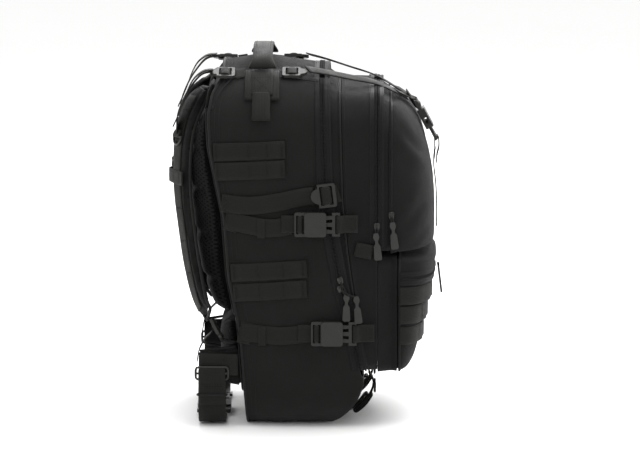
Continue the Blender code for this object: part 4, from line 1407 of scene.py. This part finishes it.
def waist_straps():
    """Each half of the belt with its slider, loose end and elastic keeper."""
    for side, word in SIDES:
        body = f"waist_{word}"
        inner = 66 if side < 0 else 98
        line = curve_through(mirrored(side, [(150, 122, 80), (150, 122, 50), (146, 122, 22), (130, 122, 6),
                                             (112, 122, 3.4), (inner, 122, 3.4)]), 7)
        line[:, 2] = np.maximum(line[:, 2], 2.6)
        webbing(f"waist_webbing_{word}", line, 38, normals_of(line, (0, -1, 0)), body,
                [f"waist_strap_{word}"], thick=2.0)
        triglide(f"waist_glide_{word}", frame_at((side * 152.6, 122, 76), Z_AXIS, (side, 0, 0)), 41, 17, body)
        tail = [(150.5, 122, 82), (153.6, 122, 83), (155.6, 122, 79), (156, 121.5, 66), (154.8, 121, 48),
                (153.2, 120.5, 32)]
        strip(f"waist_tail_{word}", mirrored(side, tail), 4, 37, (0, -1, 0), body, thick=1.8)
        for z in (60, 57):
            thread(body, mirrored(side, [(157.2, 105, z), (157.2, 138, z)]))
        keeper = mirrored(side, [(156.6, 101.5, 46), (156.6, 142, 46), (148.6, 142, 46), (148.6, 101.5, 46)])
        keeper = [np.linspace(a, b, 5, endpoint=False) for a, b in zip(keeper, keeper[1:] + keeper[:1])]
        tube(f"waist_keeper_{word}", np.concatenate(keeper), 1.4, BINDING, body, closed=True)


def bottom_straps():
    """The bedroll straps under the front edge of the base, with their sliders and folded ends."""
    x = 74
    fold = [(-101, 33), (-93, 21), (-83, 12), (-78, 9.5), (-75, 12), (-78, 15.5), (-87, 23), (-94, 31),
            (-93, 34.5), (-89.5, 32.5), (-84, 25), (-76, 17.5), (-70, 13)]
    for side, word in SIDES:
        strap = [(side * x, y, z) for y, z in ((-96, 66), (-102, 54), (-100, 38), (-90, 23), (-78, 11))]
        strip(f"bottom_webbing_{word}", strap, 6, 25, (1, 0, 0), "root", [f"bottom_strap_{word}"], thick=2.0)
        place = frame_at((side * x, -104.5, 46), Z_AXIS, (0, -1, 0.1))
        triglide(f"bottom_glide_{word}", place, 27, 13, "root")
        strip(f"bottom_fold_{word}", [(side * x, y, z) for y, z in fold], 4, 25, (1, 0, 0), "root", thick=1.7)


def zip_slider(name, body, at, forward, up, pull_nose):
    """A coil slider with its bail, and the cord from it to the end of its pull."""
    place = frame_at(at, forward, up)
    outline = [(-4.6, 2.4), (-3.6, 3.4), (2.2, 4.3), (4.4, 3.2), (5.0, 0), (4.4, -3.2), (2.2, -4.3),
               (-3.6, -3.4), (-4.6, -2.4)]
    bm = bmesh.new()
    for low, high in ((-1.5, -0.5), (0.7, 1.7)):
        rings = [[bm.verts.new(point(*place([(x * f, y * f, z)])[0])) for x, y in outline]
                 for z, f in ((low, 0.88), (low + 0.25, 1), (high - 0.25, 1), (high, 0.88))]
        for first, second in zip(rings, rings[1:]):
            for k in range(len(outline)):
                n = (k + 1) % len(outline)
                bm.faces.new((first[k], first[n], second[n], second[k]))
        bm.faces.new(rings[0][::-1])
        bm.faces.new(rings[-1])
    bmesh.ops.recalc_face_normals(bm, faces=bm.faces)
    from_bmesh(name + "_slider", bm, STEEL, body)
    turns = np.linspace(0, math.pi, 9)
    bail = place([(3.4 * math.cos(t), 0, 1.2 + 3.0 * math.sin(t)) for t in turns])
    tube(name + "_bail", bail, 0.8, STEEL, body)
    top = place([(0, 0, 3.6)])[0]
    nose = np.array(pull_nose, float)
    span = np.linalg.norm(nose - top)
    for k, off in enumerate((-1.2, 1.2)):
        shift = place([(0, off, 0)])[0] - place([(0, 0, 0)])[0]
        middle = (top + nose) / 2 + shift * 1.4 - np.array((0, 0, 0.1)) * span
        tube(f"{name}_cord_{k}", curve_through([top, middle, nose + shift * 0.5], 5), 1.0, BINDING, body)


def pull_details():
    """Sliders on every zip, where their pulls hang from."""
    clear_x = side_x(-60, 135, 6.8) - 1
    upper_x = by_depth(HALF_WIDTHS, 4) + bulge(262)
    for name, body, slider_z, nose_y, nose_z in (("main_a", "root", 209, -65, 188.5),
                                                 ("main_b", "front_section", 197, -78.5, 185.5)):
        line_y = station_y(1, 203)
        zip_slider(name, body, (-side_x(line_y, slider_z, 3.2), line_y, slider_z), (0, 0.25, 1), (-1, 0, 0),
                   (-clear_x, nose_y, nose_z))
    zip_slider("second", "front_section", (-side_x(-107, 283, 2.6), -107, 283), Z_AXIS, (-1, 0, 0),
               (-side_x(-106, 262, 6), -106.4, 273))
    zip_slider("upper", "upper_panel", (-upper_x - 1.5, -127, 297), Z_AXIS, (-1, 0, 0),
               (-upper_x - 6, -128.6, 287))
    zip_slider("lower", "lower_face", (-60, -190.5, 217), (1, 0, 0), (0, -1, 0.2), (-60, -193.6, 212))


# ---------------------------------------------------------------- camera, light and floor

CAMERA_AZIMUTH = 270.5
CAMERA_ELEVATION = 8.5
CAMERA_DISTANCE = 8.0
CAMERA_LENS = 318.9
CAMERA_AIM = (0, -0.0189, 0.2548)
FLOOR_HALF = 14


def studio():
    """Camera, floor, sky and two lamps."""
    turn, rise = math.radians(CAMERA_AZIMUTH), math.radians(CAMERA_ELEVATION)
    back = Vector((math.sin(turn) * math.cos(rise), -math.cos(turn) * math.cos(rise), math.sin(rise)))
    data = bpy.data.cameras.new("camera")
    data.lens = CAMERA_LENS
    camera = bpy.data.objects.new("camera", data)
    camera.location = Vector(CAMERA_AIM) + back * CAMERA_DISTANCE
    camera.rotation_euler = back.to_track_quat("Z", "Y").to_euler()
    bpy.context.scene.camera = add_to_scene(camera)

    tree = Tree("studio_floor", 0.6, specular=0.1)
    place = tree.node("TexCoord").outputs["Object"]
    floor_mat = tree.finish(tree.colour(tree.noise(place, 3.0), (0.95, 0.95, 0.945), (0.965, 0.965, 0.96)))
    mesh = bpy.data.meshes.new("floor")
    corners = ((-1, -1), (1, -1), (1, 1), (-1, 1))
    mesh.from_pydata([(FLOOR_HALF * x, FLOOR_HALF * y, 0) for x, y in corners], [], [(0, 1, 2, 3)])
    mesh.materials.append(floor_mat)
    add_to_scene(bpy.data.objects.new("floor", mesh))

    world = bpy.data.worlds.new("studio")
    world.use_nodes = True
    sky = world.node_tree.nodes["Background"].inputs
    sky["Color"].default_value = (1, 1, 1, 1)
    sky["Strength"].default_value = 1.0
    bpy.context.scene.world = world
    bpy.context.scene.view_settings.view_transform = "Standard"
    for name, spot, aim, size, power in (("overhead", (0.1, -0.5, 2.4), (0, -0.05, 0.2), 2.2, 51),
                                         ("behind", (2.6, -0.3, 1.6), (0, 0, 0.4), 2.0, 55)):
        light = bpy.data.lights.new(name, "AREA")
        light.size = size
        light.energy = power
        lamp = bpy.data.objects.new(name, light)
        lamp.location = spot
        lamp.rotation_euler = (Vector(spot) - Vector(aim)).to_track_quat("Z", "Y").to_euler()
        add_to_scene(lamp)


# ---------------------------------------------------------------- build

studio()
sewn_body()
seam_work()
linings()
hardware()
for side, word in SIDES:
    side_details(side, word)
top_details()
front_details()
back_panel()
shoulder_straps()
sternum()
hip_wings()
waist_straps()
bottom_straps()
pull_details()
sew_all()
